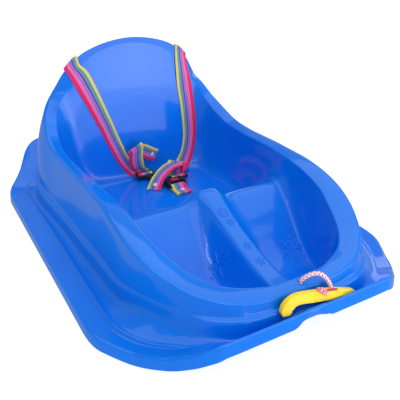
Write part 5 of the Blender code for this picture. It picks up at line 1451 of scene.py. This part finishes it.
# stopper knot: three braided loops drawn tight
def knot_path():
    d = math.radians(150)
    r = COIL_R + COIL_W / 2 + GAP + .0065
    c = np.array([COIL[0] + r * math.cos(d), COIL[1] + r * math.sin(d), .0075])
    out = []
    for t in np.linspace(0, 2 * math.pi * 1.93, 120):
        rr = .0036 + .0006 * math.cos(1.5 * t)
        out.append(c + [rr * math.cos(t), rr * math.sin(t), .0024 * math.sin(1.5 * t)])
    return np.array(out)


me, _ = braid_tube("stopper", knot_path(), .0027)
stopper = piece("stopper_knot", me, ROPE, None, "sled", ("rope_end_knot",))

# ---------------------------------------------------------------- set
bm = bmesh.new()
bmesh.ops.create_grid(bm, x_segments=2, y_segments=2, size=6)
floor_me = bpy.data.meshes.new("floor")
bm.to_mesh(floor_me)
bm.free()
floor = bpy.data.objects.new("floor", floor_me)
floor.location = (0, 0, -.0004)
bpy.context.scene.collection.objects.link(floor)
fm, fnt, fb = new_mat("floor_paper", (.40, .40, .40), .75)
fnt.links.new(spread(fnt, noise_tex(fnt, coords(fnt), 30, 3), .7, .85), fb.inputs["Roughness"])
fb.inputs["Emission Color"].default_value = (1, 1, 1, 1)
fb.inputs["Emission Strength"].default_value = .86
floor_me.materials.append(fm)
floor.visible_glossy = False

cam_data = bpy.data.cameras.new("camera")
cam = bpy.data.objects.new("camera", cam_data)
bpy.context.scene.collection.objects.link(cam)
F_PX, PITCH, YAW, ROLL = 541.504, .494656666, 1.04791382, .0058654813
cam_data.sensor_width = 36
cam_data.lens = F_PX / 400 * 36
cam_data.dof.use_dof = False
fwd = Vector((math.cos(YAW) * math.cos(PITCH), math.sin(YAW) * math.cos(PITCH), -math.sin(PITCH)))
right = Vector((math.sin(YAW), -math.cos(YAW), 0))
upv = right.cross(fwd)
rx = right * math.cos(ROLL) + upv * math.sin(ROLL)
ux = upv * math.cos(ROLL) - right * math.sin(ROLL)
cam.matrix_world = Matrix(((rx.x, ux.x, -fwd.x, 0), (rx.y, ux.y, -fwd.y, 0), (rx.z, ux.z, -fwd.z, 0), (0, 0, 0, 1)))
cam.location = Vector(P(-.7856986, -1.45937454, .96510325))
bpy.context.scene.camera = cam

world = bpy.data.worlds.new("studio")
bpy.context.scene.world = world
world.use_nodes = True
wnt = world.node_tree
bg = wnt.nodes["Background"]
way_up = node(wnt, "ShaderNodeSeparateXYZ", {0: wnt.nodes.new("ShaderNodeTexCoord").outputs["Generated"]})
glow = ramp(wnt, way_up.outputs[2], [(0, (.34, .37, .40)), (.38, (.34, .37, .40)), (.52, (.42, .45, .48)), (.80, (.12, .13, .15)), (1, (.10, .11, .13))])
wnt.links.new(glow, bg.inputs["Color"])
bg.inputs["Strength"].default_value = 1.0


def softbox(name, at, to, size, power, size_y=None):
    d = bpy.data.lights.new(name, "AREA")
    d.shape, d.size, d.size_y, d.energy = "RECTANGLE", size, size_y or size, power
    ob = bpy.data.objects.new(name, d)
    bpy.context.scene.collection.objects.link(ob)
    ob.location = at
    ob.rotation_mode = "QUATERNION"
    ob.rotation_quaternion = (Vector(to) - Vector(at)).to_track_quat("-Z", "Y")
    ob.visible_camera = False
    return ob




def sun(name, towards, power, angle):
    d = bpy.data.lights.new(name, "SUN")
    d.energy, d.angle = power, math.radians(angle)
    ob = bpy.data.objects.new(name, d)
    bpy.context.scene.collection.objects.link(ob)
    ob.location = (0, 0, 3)
    ob.rotation_mode = "QUATERNION"
    ob.rotation_quaternion = Vector(towards).to_track_quat("-Z", "Y")
    return ob


sun("overhead", (-.12, -.02, -1.0), 1.55, 84)
sun("side", (.40, .52, -1.0), .42, 60)
softbox("panel", (.70, -1.35, .30), (0, .22, .20), 1.8, 7.0, .7)
softbox("tube", (-.45, -.95, 1.2), (0, 0, .1), 2.6, 2.4, .04)
softbox("back", (2.1, 1.9, .75), (0, -.3, .1), 2.6, 7.0, .8)
softbox("card", (.11, .015, .20), (0, .27, .23), .50, .060, .24).data.spread = math.radians(52)
sc = bpy.context.scene
sc.view_settings.view_transform = "Standard"
sc.view_settings.look = "None"
